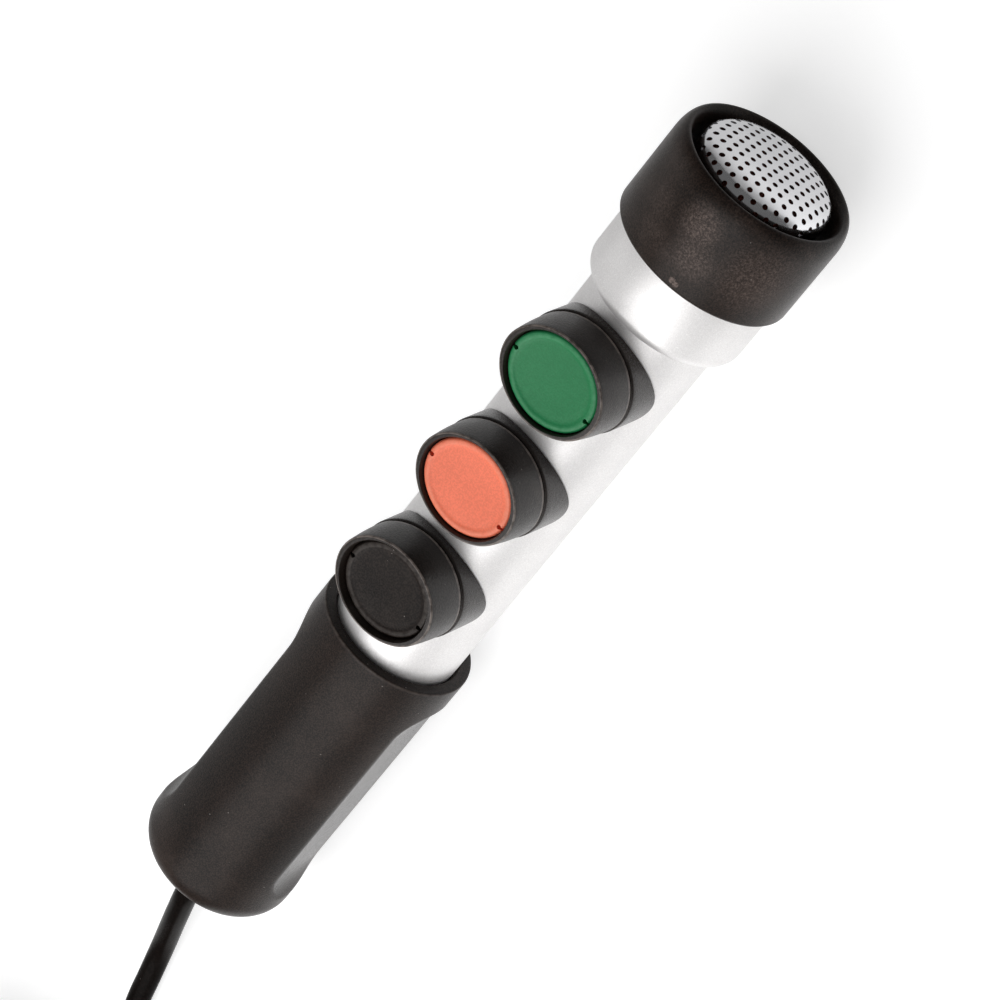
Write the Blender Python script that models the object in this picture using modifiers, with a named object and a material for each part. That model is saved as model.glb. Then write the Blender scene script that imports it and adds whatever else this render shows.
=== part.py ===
# Hand microphone with three push buttons, a rubber grip, a rubber head ring and a straight lead.
# It lies on a table, buttons up: +X runs along its axis to the head and +Z is up.
# The origin is under the middle of the microphone's length, on the table.
# Each piece of the microphone hangs on one tilted empty, whose origin is where the tube leaves the grip.
import math

import bmesh
import bpy
from mathutils import Vector, geometry

# Driving dimensions, in metres
TUBE_RADIUS = 0.016
TUBE_WALL = 0.0016
TUBE_TO_COLLAR = 0.1092
COLLAR_PROUD = 0.0036
COLLAR_LENGTH = 0.0160
RING_PROUD = 0.0021
RING_LENGTH = 0.0248
GRILLE_PROUD = 0.0025
GRIP_WALL = 0.0034
GRIP_LENGTH = 0.089
GRIP_END_ROUND = 0.008
BUTTON_FIRST = 0.0250
BUTTON_PITCH = 0.0343
BUTTON_TRAVEL = 0.0020
SADDLE_PROUD = 0.0029
BARREL_HEIGHT = 0.0108
CORD_RADIUS = 0.0030

# Room between neighbours, and how far a cutter runs past what it cuts
CLEARANCE = 0.0003
OVERRUN = 0.004

# Sides of wide, middling and thin turned pieces, and steps on a rounded edge
WIDE_STEPS = 36
MIDDLE_STEPS = 24
THIN_STEPS = 14
ROUND_STEPS = 4

# Points closer than this become one, and edges sharper than this stay sharp.
MERGE_DISTANCE = 0.00001
SHARP_DEG = 35

# Radii and heights that follow the tube
TUBE_BORE = TUBE_RADIUS - TUBE_WALL
COLLAR_RADIUS = TUBE_RADIUS + COLLAR_PROUD
RING_RADIUS = COLLAR_RADIUS + RING_PROUD
GRIP_RADIUS = TUBE_RADIUS + GRIP_WALL
SADDLE_HEIGHT = TUBE_RADIUS + SADDLE_PROUD
RIM_HEIGHT = SADDLE_HEIGHT + BARREL_HEIGHT

# The collar's spigot carries the head ring outside and the grille inside.
SPIGOT_STEP = 0.0017
SPIGOT_WALL = 0.0012
SPIGOT_LENGTH = 0.0148
SPIGOT_RADIUS = COLLAR_RADIUS - SPIGOT_STEP
GRILLE_RADIUS = SPIGOT_RADIUS - SPIGOT_WALL - CLEARANCE

# Places along the axis that several pieces share
RING_REAR = TUBE_TO_COLLAR + COLLAR_LENGTH + CLEARANCE
RING_FRONT = RING_REAR + RING_LENGTH
GRILLE_FRONT = RING_FRONT + GRILLE_PROUD
GRIP_REAR = -GRIP_LENGTH

PARTS = "hand_microphone"
CUTTERS = "cutters"


def start_clean():
    for item in list(bpy.data.objects):
        bpy.data.objects.remove(item, do_unlink=True)
    for name in (PARTS, CUTTERS):
        shelf = bpy.data.collections.new(name)
        bpy.context.scene.collection.children.link(shelf)


def finish(name, colour, roughness, metallic=0.0):
    # One plain finish, made once and shared by the pieces that have it.
    found = bpy.data.materials.get(name)
    if found:
        return found
    made = bpy.data.materials.new(name)
    made.use_nodes = True
    shader = made.node_tree.nodes["Principled BSDF"]
    shader.inputs["Base Color"].default_value = (*colour, 1.0)
    shader.inputs["Roughness"].default_value = roughness
    shader.inputs["Metallic"].default_value = metallic
    return made


def silver():
    return finish("silver", (0.62, 0.61, 0.60), 0.35, 0.9)


def bright_steel():
    return finish("bright_steel", (0.75, 0.75, 0.76), 0.2, 1.0)


def rubber():
    return finish("rubber", (0.022, 0.020, 0.019), 0.75)


def black_plastic():
    return finish("black_plastic", (0.025, 0.023, 0.022), 0.5)


def brass():
    return finish("brass", (0.70, 0.50, 0.20), 0.3, 1.0)


def keep(item, material, parent=None, shelf=PARTS):
    # Puts a new object in its collection, under its parent, with its finish.
    for user in list(item.users_collection):
        user.objects.unlink(item)
    bpy.data.collections[shelf].objects.link(item)
    item.parent = parent
    if material:
        item.data.materials.append(material)
    return item


def from_bmesh(name, shape, material, parent, shelf=PARTS):
    data = bpy.data.meshes.new(name)
    bmesh.ops.recalc_face_normals(shape, faces=shape.faces)
    shape.to_mesh(data)
    shape.free()
    return keep(bpy.data.objects.new(name, data), material, parent, shelf)


def turned(name, profile, material, parent, steps=WIDE_STEPS, along=True):
    # Turns a profile of (place, radius) points that runs down the outer side, front or top first.
    # A profile that starts and ends on the axis is solid; any other is closed up as a ring.
    shape = bmesh.new()
    points = [shape.verts.new((radius, 0, place)) for place, radius in profile]
    for start, end in zip(points, points[1:]):
        shape.edges.new((start, end))
    if profile[0][1] > 0:
        shape.edges.new((points[-1], points[0]))
    item = from_bmesh(name, shape, material, parent)
    if along:
        item.rotation_euler = (0, math.radians(90), 0)
    lathe = item.modifiers.new("turn", "SCREW")
    lathe.steps = steps
    lathe.render_steps = steps
    lathe.use_merge_vertices = True
    lathe.merge_threshold = MERGE_DISTANCE
    return item


def round_edge(place, radius, size, start_deg, end_deg, count=ROUND_STEPS):
    # Points on an arc about (place, radius): 0 degrees points to the front and 90 degrees outwards.
    points = []
    for step in range(count + 1):
        angle = math.radians(start_deg + (end_deg - start_deg) * step / count)
        points.append((place + size * math.cos(angle), radius + size * math.sin(angle)))
    return points


def ovals(name, sections, material, parent, place, sides=28, ring=False):
    # Joins ovals of (half length along the tube, half width across it, height), from the top down the
    # outside. A ring has its last oval joined to its first; otherwise a face closes each end.
    shape = bmesh.new()
    rows = []
    for along, across, height in sections:
        row = []
        for step in range(sides):
            angle = 2 * math.pi * step / sides
            row.append(shape.verts.new((along * math.cos(angle), across * math.sin(angle), height)))
        rows.append(row)
    pairs = list(zip(rows, rows[1:]))
    if ring:
        pairs.append((rows[-1], rows[0]))
    for upper, lower in pairs:
        for step in range(sides):
            after = (step + 1) % sides
            shape.faces.new((upper[step], lower[step], lower[after], upper[after]))
    if not ring:
        shape.faces.new(rows[0])
        shape.faces.new(rows[-1])
    item = from_bmesh(name, shape, material, parent)
    item.location = (place, 0, 0)
    item.data.shade_smooth()
    item.data.set_sharp_from_angle(angle=math.radians(SHARP_DEG))
    return item


def post(name, radius, low, high, material, parent, place=(0, 0), sides=MIDDLE_STEPS, shelf=PARTS):
    # A plain upright cylinder between two heights.
    shape = bmesh.new()
    bmesh.ops.create_cone(
        shape, cap_ends=True, segments=sides, radius1=radius, radius2=radius, depth=high - low
    )
    item = from_bmesh(name, shape, material, parent, shelf)
    item.location = (*place, (low + high) / 2)
    return item


def bar(name, radius, back, front, material, parent, offset=0, sides=WIDE_STEPS, shelf=PARTS):
    # A plain cylinder along the axis, or beside it by the offset.
    item = post(name, radius, back, front, material, parent, sides=sides, shelf=shelf)
    item.rotation_euler = (0, math.radians(90), 0)
    item.location = ((back + front) / 2, offset, 0)
    return item


def block(name, low, high, material, parent):
    shape = bmesh.new()
    bmesh.ops.create_cube(shape, size=1)
    bmesh.ops.scale(shape, vec=[b - a for a, b in zip(low, high)], verts=shape.verts)
    item = from_bmesh(name, shape, material, parent)
    item.location = [(a + b) / 2 for a, b in zip(low, high)]
    return item


def cut(item, cutter, solver="EXACT"):
    cutter.hide_render = True
    cutter.display_type = "WIRE"
    change = item.modifiers.new(cutter.name, "BOOLEAN")
    change.operation = "DIFFERENCE"
    change.solver = solver
    change.object = cutter


def wire(name, line, radius, material, parent=None, roundness=1):
    # A round wire or cord along a line of points, with closed ends.
    data = bpy.data.curves.new(name, "CURVE")
    data.dimensions = "3D"
    data.bevel_depth = radius
    data.bevel_resolution = roundness
    data.use_fill_caps = True
    spline = data.splines.new("POLY")
    spline.points.add(len(line) - 1)
    for point, place in zip(spline.points, line):
        point.co = (*place, 1)
    return keep(bpy.data.objects.new(name, data), material, parent)


def smooth_line(points, spacing):
    # A smooth curve through chosen points, read off at about the given spacing.
    places = [Vector(point) for point in points]
    before_first = 2 * places[0] - places[1]
    after_last = 2 * places[-1] - places[-2]
    padded = [before_first, *places, after_last]
    line = []
    for before, start, end, after in zip(padded, padded[1:], padded[2:], padded[3:]):
        steps = max(1, round((end - start).length / spacing))
        for step in range(steps):
            t = step / steps
            slope = (end - before) * t
            bend = (2 * before - 5 * start + 4 * end - after) * t * t
            twist = (3 * start - before - 3 * end + after) * t * t * t
            line.append((2 * start + slope + bend + twist) / 2)
    line.append(places[-1])
    return line


# How it lies: the ring's widest place and the grip's rear edge both touch the table.
RING_BELLY_SHARE = 0.34
BUSH_OUTSIDE = 0.0040
BUSH_TIP_RADIUS = 0.0044


def lying_frame():
    belly = RING_REAR + RING_BELLY_SHARE * RING_LENGTH
    touch = GRIP_REAR + GRIP_END_ROUND
    tilt = math.atan((RING_RADIUS - GRIP_RADIUS) / (belly - touch))
    front = GRILLE_FRONT * math.cos(tilt)
    rear = (GRIP_REAR - BUSH_OUTSIDE) * math.cos(tilt) - BUSH_TIP_RADIUS * math.sin(tilt)
    frame = bpy.data.objects.new("lying_frame", None)
    bpy.data.collections[PARTS].objects.link(frame)
    frame.location = (-(front + rear) / 2, 0, GRIP_RADIUS * math.cos(tilt) - touch * math.sin(tilt))
    frame.rotation_euler = (0, -tilt, 0)
    return frame


# Tube: thin aluminium, its rear end inside the grip and its front end inside the collar.
TUBE_IN_GRIP = 0.009
TUBE_IN_COLLAR = 0.0095
NECK_RADIUS = 0.0060


def button_place(number):
    return BUTTON_FIRST + number * BUTTON_PITCH


def make_tube(frame):
    front = TUBE_TO_COLLAR + TUBE_IN_COLLAR
    rear = -TUBE_IN_GRIP
    profile = [(front, TUBE_RADIUS), (rear, TUBE_RADIUS), (rear, TUBE_BORE), (front, TUBE_BORE)]
    tube = turned("body_tube", profile, silver(), frame)
    for number in range(len(BUTTONS)):
        hole = post(
            f"tube_hole_{number}",
            NECK_RADIUS + CLEARANCE,
            0,
            TUBE_RADIUS + OVERRUN,
            None,
            frame,
            (button_place(number), 0),
            shelf=CUTTERS,
        )
        cut(tube, hole)


# Collar: the silver sleeve before the head, with a stop inside for the end of the tube
COLLAR_SHOULDER_ROUND = 0.0030
GRILLE_SEAT_DEPTH = 0.0100
COLLAR_STOP_BORE = TUBE_BORE + 3 * CLEARANCE


def make_collar(frame):
    rear = TUBE_TO_COLLAR
    shoulder = TUBE_TO_COLLAR + COLLAR_LENGTH
    front = shoulder + SPIGOT_LENGTH
    seat = front - GRILLE_SEAT_DEPTH
    stop = rear + TUBE_IN_COLLAR + CLEARANCE
    grille_bore = GRILLE_RADIUS + CLEARANCE
    tube_bore = TUBE_RADIUS + CLEARANCE
    profile = [(front, SPIGOT_RADIUS), (shoulder, SPIGOT_RADIUS), (shoulder, COLLAR_RADIUS)]
    profile += round_edge(
        rear + COLLAR_SHOULDER_ROUND, COLLAR_RADIUS - COLLAR_SHOULDER_ROUND, COLLAR_SHOULDER_ROUND, 90, 180
    )
    profile += [(rear, tube_bore), (stop, tube_bore), (stop, COLLAR_STOP_BORE), (seat, COLLAR_STOP_BORE)]
    profile += [(seat, grille_bore), (front, grille_bore)]
    turned("head_collar", profile, silver(), frame)


# Head ring: a soft bumper with a rounded nose
RING_REAR_ROUND = 0.0009
RING_NOSE = 0.0050


def make_ring(frame):
    bore = SPIGOT_RADIUS + CLEARANCE
    belly = RING_REAR + RING_BELLY_SHARE * RING_LENGTH
    nose = RING_FRONT - RING_NOSE
    middle = (RING_RADIUS + bore) / 2
    half_wall = (RING_RADIUS - bore) / 2
    profile = []
    for step in range(2 * ROUND_STEPS + 1):
        angle = math.pi * (1 - step / (2 * ROUND_STEPS))
        profile.append((nose + RING_NOSE * math.sin(angle), middle + half_wall * math.cos(angle)))
    profile.append((belly, RING_RADIUS))
    profile += [(RING_REAR + RING_REAR_ROUND, RING_RADIUS), (RING_REAR, RING_RADIUS - RING_REAR_ROUND)]
    profile.append((RING_REAR, bore))
    turned("head_ring", profile, rubber(), frame)


# Grille: a deep cup of perforated steel with a domed face, pushed into the collar's spigot
GRILLE_WALL = 0.0008
GRILLE_DOME = 0.0011
GRILLE_EDGE_ROUND = 0.0030
DOME_STEPS = 4


def dome(front, edge_radius):
    # Points from the middle of a shallow dome to just short of its edge
    points = []
    for step in range(DOME_STEPS):
        share = step / DOME_STEPS
        points.append((front - GRILLE_DOME * share**2, edge_radius * share))
    return points


def make_grille(frame):
    rear = TUBE_TO_COLLAR + COLLAR_LENGTH + SPIGOT_LENGTH - GRILLE_SEAT_DEPTH + CLEARANCE
    round_from = GRILLE_RADIUS - GRILLE_EDGE_ROUND
    lean = math.atan(2 * GRILLE_DOME / round_from)
    bend = GRILLE_FRONT - GRILLE_DOME - GRILLE_EDGE_ROUND * math.cos(lean)
    inner_round = GRILLE_EDGE_ROUND - GRILLE_WALL
    start_deg = math.degrees(lean)
    profile = dome(GRILLE_FRONT, round_from + GRILLE_EDGE_ROUND * math.sin(lean))
    profile += round_edge(bend, round_from, GRILLE_EDGE_ROUND, start_deg, 90)
    profile += [(rear, GRILLE_RADIUS), (rear, GRILLE_RADIUS - GRILLE_WALL)]
    profile += round_edge(bend, round_from, inner_round, 90, start_deg)
    profile += reversed(dome(GRILLE_FRONT - GRILLE_WALL, round_from + inner_round * math.sin(lean)))
    turned("grille", profile, bright_steel(), frame)


# Head insides: a foam disc, and the capsule in its rubber mount
FOAM_THICKNESS = 0.0036
FOAM_BEVEL = 0.0022
CAPSULE_LENGTH = 0.0120
CAPSULE_BEVEL = 0.0010
MOUNT_WALL = 0.0030
MOUNT_SETBACK = 0.0020
MOUNT_LENGTH = 0.0080


def foam_front():
    return GRILLE_FRONT - GRILLE_WALL - GRILLE_DOME - CLEARANCE


def capsule_front():
    return foam_front() - FOAM_THICKNESS - CLEARANCE


def make_head_insides(frame):
    cup = GRILLE_RADIUS - GRILLE_WALL - CLEARANCE
    front = foam_front()
    rear = front - FOAM_THICKNESS
    foam = [(front, 0), (front, cup - FOAM_BEVEL), (front - FOAM_BEVEL, cup), (rear, cup), (rear, 0)]
    turned("foam_disc", foam, finish("foam", (0.05, 0.05, 0.05), 0.95), frame, MIDDLE_STEPS)

    mount_bore = cup - MOUNT_WALL
    side = mount_bore - CLEARANCE
    front = capsule_front()
    rear = front - CAPSULE_LENGTH
    capsule = [
        (front, 0),
        (front, side - CAPSULE_BEVEL),
        (front - CAPSULE_BEVEL, side),
        (rear, side),
        (rear, 0),
    ]
    turned("capsule", capsule, finish("capsule_metal", (0.55, 0.54, 0.50), 0.35, 1.0), frame, MIDDLE_STEPS)

    front -= MOUNT_SETBACK
    rear = front - MOUNT_LENGTH
    mount = [(front, cup), (rear, cup), (rear, mount_bore), (front, mount_bore)]
    turned("capsule_mount", mount, rubber(), frame, MIDDLE_STEPS)


# Grip: a stiff core tube that plugs into the body tube, and a moulded rubber sleeve over it
CORE_WALL = 0.0021
CORE_SPIGOT = 0.0080
CORE_SHOULDER = 0.0020
SLEEVE_END_WALL = 0.0044
SLEEVE_RIM_ROUND = 0.0010
BUSH_NECK_RADIUS = 0.0060

# Finger flats: the rubber left under each, how far the sleeve is turned from the buttons, and how much
# the two flats lean towards each other at the top.
FLAT_WALL = 0.0026
FLAT_DISTANCE = TUBE_BORE + FLAT_WALL
FLAT_FRONT = 0.0080
FLAT_REAR = 0.0785
FLAT_RUN_OUT = 0.0095
GRIP_TURN_DEG = 9.7
FLAT_LEAN_DEG = 5.3


def core_rear():
    return GRIP_REAR + SLEEVE_END_WALL + CLEARANCE


def make_core(frame):
    outer = TUBE_BORE - CLEARANCE
    inner = outer - CORE_WALL
    step = -TUBE_IN_GRIP - CLEARANCE
    rear = core_rear()
    profile = [
        (CORE_SPIGOT, outer),
        (step, outer),
        (step, TUBE_RADIUS),
        (step - CORE_SHOULDER, TUBE_RADIUS),
        (step - CORE_SHOULDER, outer),
        (rear, outer),
        (rear, inner),
        (CORE_SPIGOT, inner),
    ]
    turned("grip_core", profile, black_plastic(), frame)


def flat_cutter(frame, name, turn_deg):
    # A bar with rounded run-outs, as a milling cutter would leave, laid along one side of the grip.
    rise = GRIP_RADIUS + CLEARANCE - FLAT_DISTANCE
    bow = (FLAT_RUN_OUT**2 + rise**2) / (2 * rise)
    reach = math.degrees(math.asin(FLAT_RUN_OUT / bow))
    front = -FLAT_FRONT - FLAT_RUN_OUT
    rear = -FLAT_REAR + FLAT_RUN_OUT
    top = GRIP_RADIUS + OVERRUN
    outline = [(-FLAT_REAR, top), (-FLAT_FRONT, top)]
    outline += round_edge(front, FLAT_DISTANCE + bow, bow, reach - 90, -90)
    outline += round_edge(rear, FLAT_DISTANCE + bow, bow, -90, -90 - reach)
    shape = bmesh.new()
    face = shape.faces.new([shape.verts.new((x, y, -GRIP_RADIUS)) for x, y in outline])
    grown = bmesh.ops.extrude_face_region(shape, geom=[face])["geom"]
    moved = [piece for piece in grown if isinstance(piece, bmesh.types.BMVert)]
    bmesh.ops.translate(shape, verts=moved, vec=(0, 0, 2 * GRIP_RADIUS))
    item = from_bmesh(name, shape, None, frame, CUTTERS)
    item.rotation_euler = (math.radians(turn_deg), 0, 0)
    return item


def make_sleeve(frame):
    core_bore = TUBE_BORE
    tube_bore = TUBE_RADIUS + CLEARANCE
    step = -TUBE_IN_GRIP - CORE_SHOULDER - 2 * CLEARANCE
    inside = GRIP_REAR + SLEEVE_END_WALL
    hole = BUSH_NECK_RADIUS + CLEARANCE
    profile = [(0, tube_bore)]
    profile += round_edge(-SLEEVE_RIM_ROUND, GRIP_RADIUS - SLEEVE_RIM_ROUND, SLEEVE_RIM_ROUND, 0, 90, 2)
    profile += round_edge(GRIP_REAR + GRIP_END_ROUND, GRIP_RADIUS - GRIP_END_ROUND, GRIP_END_ROUND, 90, 180)
    profile += [(GRIP_REAR, hole), (inside, hole), (inside, core_bore), (step, core_bore), (step, tube_bore)]
    sleeve = turned("grip_sleeve", profile, rubber(), frame)
    cut(sleeve, flat_cutter(frame, "flat_left", GRIP_TURN_DEG + FLAT_LEAN_DEG))
    cut(sleeve, flat_cutter(frame, "flat_right", 180 + GRIP_TURN_DEG - FLAT_LEAN_DEG))


# Strain relief bush: its flange is trapped inside the grip, and its tapered tail leads the cord out.
BUSH_INSIDE = 0.0080
BUSH_SLEEVE_RADIUS = 0.0048
BUSH_FLANGE_THICK = 0.0016


def make_bush(frame):
    tip = GRIP_REAR - BUSH_OUTSIDE
    flange_rear = core_rear()
    flange_front = flange_rear + BUSH_FLANGE_THICK
    flange = TUBE_BORE - CORE_WALL - 2 * CLEARANCE
    bore = CORD_RADIUS + CLEARANCE
    front = flange_front + BUSH_INSIDE
    profile = [
        (front, BUSH_SLEEVE_RADIUS),
        (flange_front, BUSH_SLEEVE_RADIUS),
        (flange_front, flange),
        (flange_rear, flange),
        (flange_rear, BUSH_NECK_RADIUS),
        (GRIP_REAR, BUSH_NECK_RADIUS),
        (tip, BUSH_TIP_RADIUS),
        (tip, bore),
        (front, bore),
    ]
    turned("strain_relief", profile, rubber(), frame, MIDDLE_STEPS)


# Cord clamp: a plug in the core tube, its two screws, and the end of the cord that it holds
CLAMP_GAP = 0.0040
CLAMP_LENGTH = 0.0060
SCREW_HEAD_RADIUS = 0.0022
SCREW_HEAD_HEIGHT = 0.0016
SCREW_SHANK_RADIUS = 0.0012
CORD_PAST_CLAMP = 0.0050


def clamp_front():
    return core_rear() + BUSH_FLANGE_THICK + BUSH_INSIDE + CLAMP_GAP + CLAMP_LENGTH


def make_clamp(frame):
    front = clamp_front()
    rear = front - CLAMP_LENGTH
    outer = TUBE_BORE - CORE_WALL - 2 * CLEARANCE
    bore = CORD_RADIUS + CLEARANCE
    block_profile = [(front, outer), (rear, outer), (rear, bore), (front, bore)]
    clamp = turned("cord_clamp", block_profile, black_plastic(), frame, MIDDLE_STEPS)
    head = front + CLEARANCE
    profile = [
        (head + SCREW_HEAD_HEIGHT, 0),
        (head + SCREW_HEAD_HEIGHT, SCREW_HEAD_RADIUS),
        (head, SCREW_HEAD_RADIUS),
        (head, SCREW_SHANK_RADIUS),
        (rear, SCREW_SHANK_RADIUS),
        (rear, 0),
    ]
    for name, side in (("right", -1), ("left", 1)):
        offset = side * (outer + bore) / 2
        hole = bar(
            f"clamp_hole_{name}",
            SCREW_SHANK_RADIUS + CLEARANCE,
            rear - OVERRUN,
            front + OVERRUN,
            None,
            frame,
            offset,
            THIN_STEPS,
            CUTTERS,
        )
        cut(clamp, hole, "MANIFOLD")
        screw = turned(f"clamp_screw_{name}", profile, brass(), frame, THIN_STEPS)
        screw.location = (0, offset, 0)
    tip = GRIP_REAR - BUSH_OUTSIDE
    bar("cord_inner", CORD_RADIUS, tip, front + CORD_PAST_CLAMP, black_plastic(), frame, sides=THIN_STEPS)


# Switch board: lies across the tube with its long edges on the bore, as low as the switches need
BOARD_THICKNESS = 0.0016
BOARD_PAST_CORE = 0.0010
BOARD_PAST_LAST = 0.0130


def board_top():
    return switch_top() - SWITCH_HEIGHT - CLEARANCE


def board_rear():
    return CORE_SPIGOT + BOARD_PAST_CORE


def board_front():
    return button_place(len(BUTTONS) - 1) + BOARD_PAST_LAST


def make_board(frame):
    under = board_top() - BOARD_THICKNESS
    half = math.sqrt((TUBE_BORE - CLEARANCE) ** 2 - under**2)
    material = finish("board_green", (0.03, 0.16, 0.07), 0.4)
    low = (board_rear(), -half, under)
    high = (board_front(), half, board_top())
    block("switch_board", low, high, material, frame)


# Thin leads inside: three from the cord to the board, two from the board to the capsule
LEAD_RADIUS = 0.0006
LEAD_OVERLAP = 0.0040
LEAD_POINT_SPACING = 0.0100
CORD_LEAD_SPREAD = 0.0016
BOARD_LEAD_SPREAD = 0.0040
CAPSULE_LEAD_SPREAD = 0.0030


def make_leads(frame):
    on_board = board_top() + LEAD_RADIUS + CLEARANCE
    start = clamp_front() + CORD_PAST_CLAMP + CLEARANCE
    land = board_rear() + LEAD_OVERLAP
    material = finish("cord_lead_finish", (0.5, 0.05, 0.03), 0.5)
    for number, side in enumerate((-1, 0, 1)):
        near = side * CORD_LEAD_SPREAD
        far = side * BOARD_LEAD_SPREAD
        chosen = [
            (start, near, 0),
            (start + LEAD_OVERLAP, near, 0),
            ((start + board_rear()) / 2, (near + far) / 2, on_board),
            (board_rear(), far, on_board),
            (land, far, on_board),
        ]
        line = smooth_line(chosen, LEAD_POINT_SPACING)
        wire(f"cord_lead_{number + 1}", line, LEAD_RADIUS, material, frame)

    start = board_front() - LEAD_OVERLAP
    land = capsule_front() - CAPSULE_LENGTH - CLEARANCE
    material = finish("capsule_lead_finish", (0.7, 0.7, 0.68), 0.5)
    for number, side in enumerate((-1, 1)):
        offset = side * CAPSULE_LEAD_SPREAD
        chosen = [
            (start, offset, on_board),
            (board_front(), offset, on_board),
            ((board_front() + land) / 2, offset, on_board / 2),
            (land - LEAD_OVERLAP, offset, 0),
            (land, offset, 0),
        ]
        line = smooth_line(chosen, LEAD_POINT_SPACING)
        wire(f"capsule_lead_{number + 1}", line, LEAD_RADIUS, material, frame)


# Push buttons, from the grip to the head. Each stands on a saddle: a screwed bezel with a neck and a nut,
# and in it a cap on a plunger, which a spring holds up.
BUTTONS = ("black", "red", "green")
CAP_FINISHES = {
    "black": ((0.020, 0.018, 0.017), 0.45),
    "red": ((0.80, 0.13, 0.07), 0.40),
    "green": ((0.012, 0.20, 0.055), 0.40),
}
CAP_BELOW_RIM = {"black": 0.0015, "red": 0.0008, "green": 0.0008}
SADDLE_ALONG = 0.01245
SADDLE_ACROSS = 0.0147
SADDLE_LOW_SHARE = 0.30
BARREL_ALONG = 0.0121
BARREL_ACROSS = 0.0144
RIM_ALONG = 0.0113
RIM_ACROSS = 0.01385
CAP_ALONG = 0.0102
CAP_ACROSS = 0.0120
BUTTON_EDGE_ROUND = 0.0005
NECK_PAST_NUT = 0.0008
BEZEL_FLOOR = 0.0010
CAP_BORDER = 0.0016
CAP_DISH = 0.0005
CAP_DISH_FLOOR_SHARE = 0.45
CAP_TOP_WALL = 0.0016
CAP_RECESS_RADIUS = 0.0042
PLUNGER_RADIUS = 0.0020
PLUNGER_COLLAR_RADIUS = 0.0032
PLUNGER_COLLAR_LENGTH = 0.0013
PLUNGER_TIP_RADIUS = 0.0014
PLUNGER_IN_SWITCH = 0.0010
NUT_FLATS = 0.0150
NUT_THICKNESS = 0.0022
SWITCH_ALONG = 0.0120
SWITCH_ACROSS = 0.0100
SWITCH_HEIGHT = 0.0072
SPRING_RADIUS = 0.0031
SPRING_WIRE_RADIUS = 0.00025
SPRING_TURNS = 4


def bezel_floor():
    return SADDLE_HEIGHT + BEZEL_FLOOR


def cap_top(colour):
    return RIM_HEIGHT - CAP_BELOW_RIM[colour]


def recess_top(colour):
    return cap_top(colour) - CAP_TOP_WALL


def nut_top():
    # As high as the nut's corners go in the round bore
    return math.sqrt(TUBE_BORE**2 - (NUT_FLATS / 2) ** 2) - CLEARANCE


def neck_end():
    return nut_top() - NUT_THICKNESS - NECK_PAST_NUT


def switch_top():
    # Low enough that the plunger's collar stops above it when the button is fully pressed.
    return neck_end() - PLUNGER_COLLAR_LENGTH - BUTTON_TRAVEL - 2 * CLEARANCE


def make_saddle(frame, colour, place):
    top = SADDLE_HEIGHT - CLEARANCE
    low = SADDLE_LOW_SHARE * TUBE_RADIUS
    hole = NECK_RADIUS + CLEARANCE
    sections = [
        (SADDLE_ALONG - BUTTON_EDGE_ROUND, SADDLE_ACROSS - BUTTON_EDGE_ROUND, top),
        (SADDLE_ALONG, SADDLE_ACROSS, top - BUTTON_EDGE_ROUND),
        (SADDLE_ALONG, SADDLE_ACROSS, low),
        (hole, hole, low),
        (hole, hole, top),
    ]
    saddle = ovals(f"saddle_{colour}", sections, black_plastic(), frame, place, ring=True)
    rear = place - SADDLE_ALONG - OVERRUN
    front = place + SADDLE_ALONG + OVERRUN
    bed = bar(f"saddle_bed_{colour}", TUBE_RADIUS + CLEARANCE, rear, front, None, frame, shelf=CUTTERS)
    cut(saddle, bed)


def make_bezel(frame, colour, place):
    floor = bezel_floor()
    well_along = CAP_ALONG + CLEARANCE
    well_across = CAP_ACROSS + CLEARANCE
    bore = PLUNGER_RADIUS + CLEARANCE
    sections = [
        (RIM_ALONG - BUTTON_EDGE_ROUND, RIM_ACROSS - BUTTON_EDGE_ROUND, RIM_HEIGHT),
        (RIM_ALONG, RIM_ACROSS, RIM_HEIGHT - BUTTON_EDGE_ROUND),
        (BARREL_ALONG, BARREL_ACROSS, SADDLE_HEIGHT),
        (NECK_RADIUS, NECK_RADIUS, SADDLE_HEIGHT),
        (NECK_RADIUS, NECK_RADIUS, neck_end()),
        (bore, bore, neck_end()),
        (bore, bore, floor),
        (well_along, well_across, floor),
        (well_along, well_across, RIM_HEIGHT),
    ]
    ovals(f"bezel_{colour}", sections, black_plastic(), frame, place, ring=True)

    high = nut_top()
    low = high - NUT_THICKNESS
    corner = NUT_FLATS / 2 / math.cos(math.radians(30))
    nut = post(f"nut_{colour}", corner, low, high, brass(), frame, (place, 0), 6)
    nut.rotation_euler = (0, 0, math.radians(30))
    hole = post(
        f"nut_hole_{colour}",
        NECK_RADIUS + CLEARANCE,
        low - OVERRUN,
        high + OVERRUN,
        None,
        frame,
        (place, 0),
        shelf=CUTTERS,
    )
    cut(nut, hole)


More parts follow.
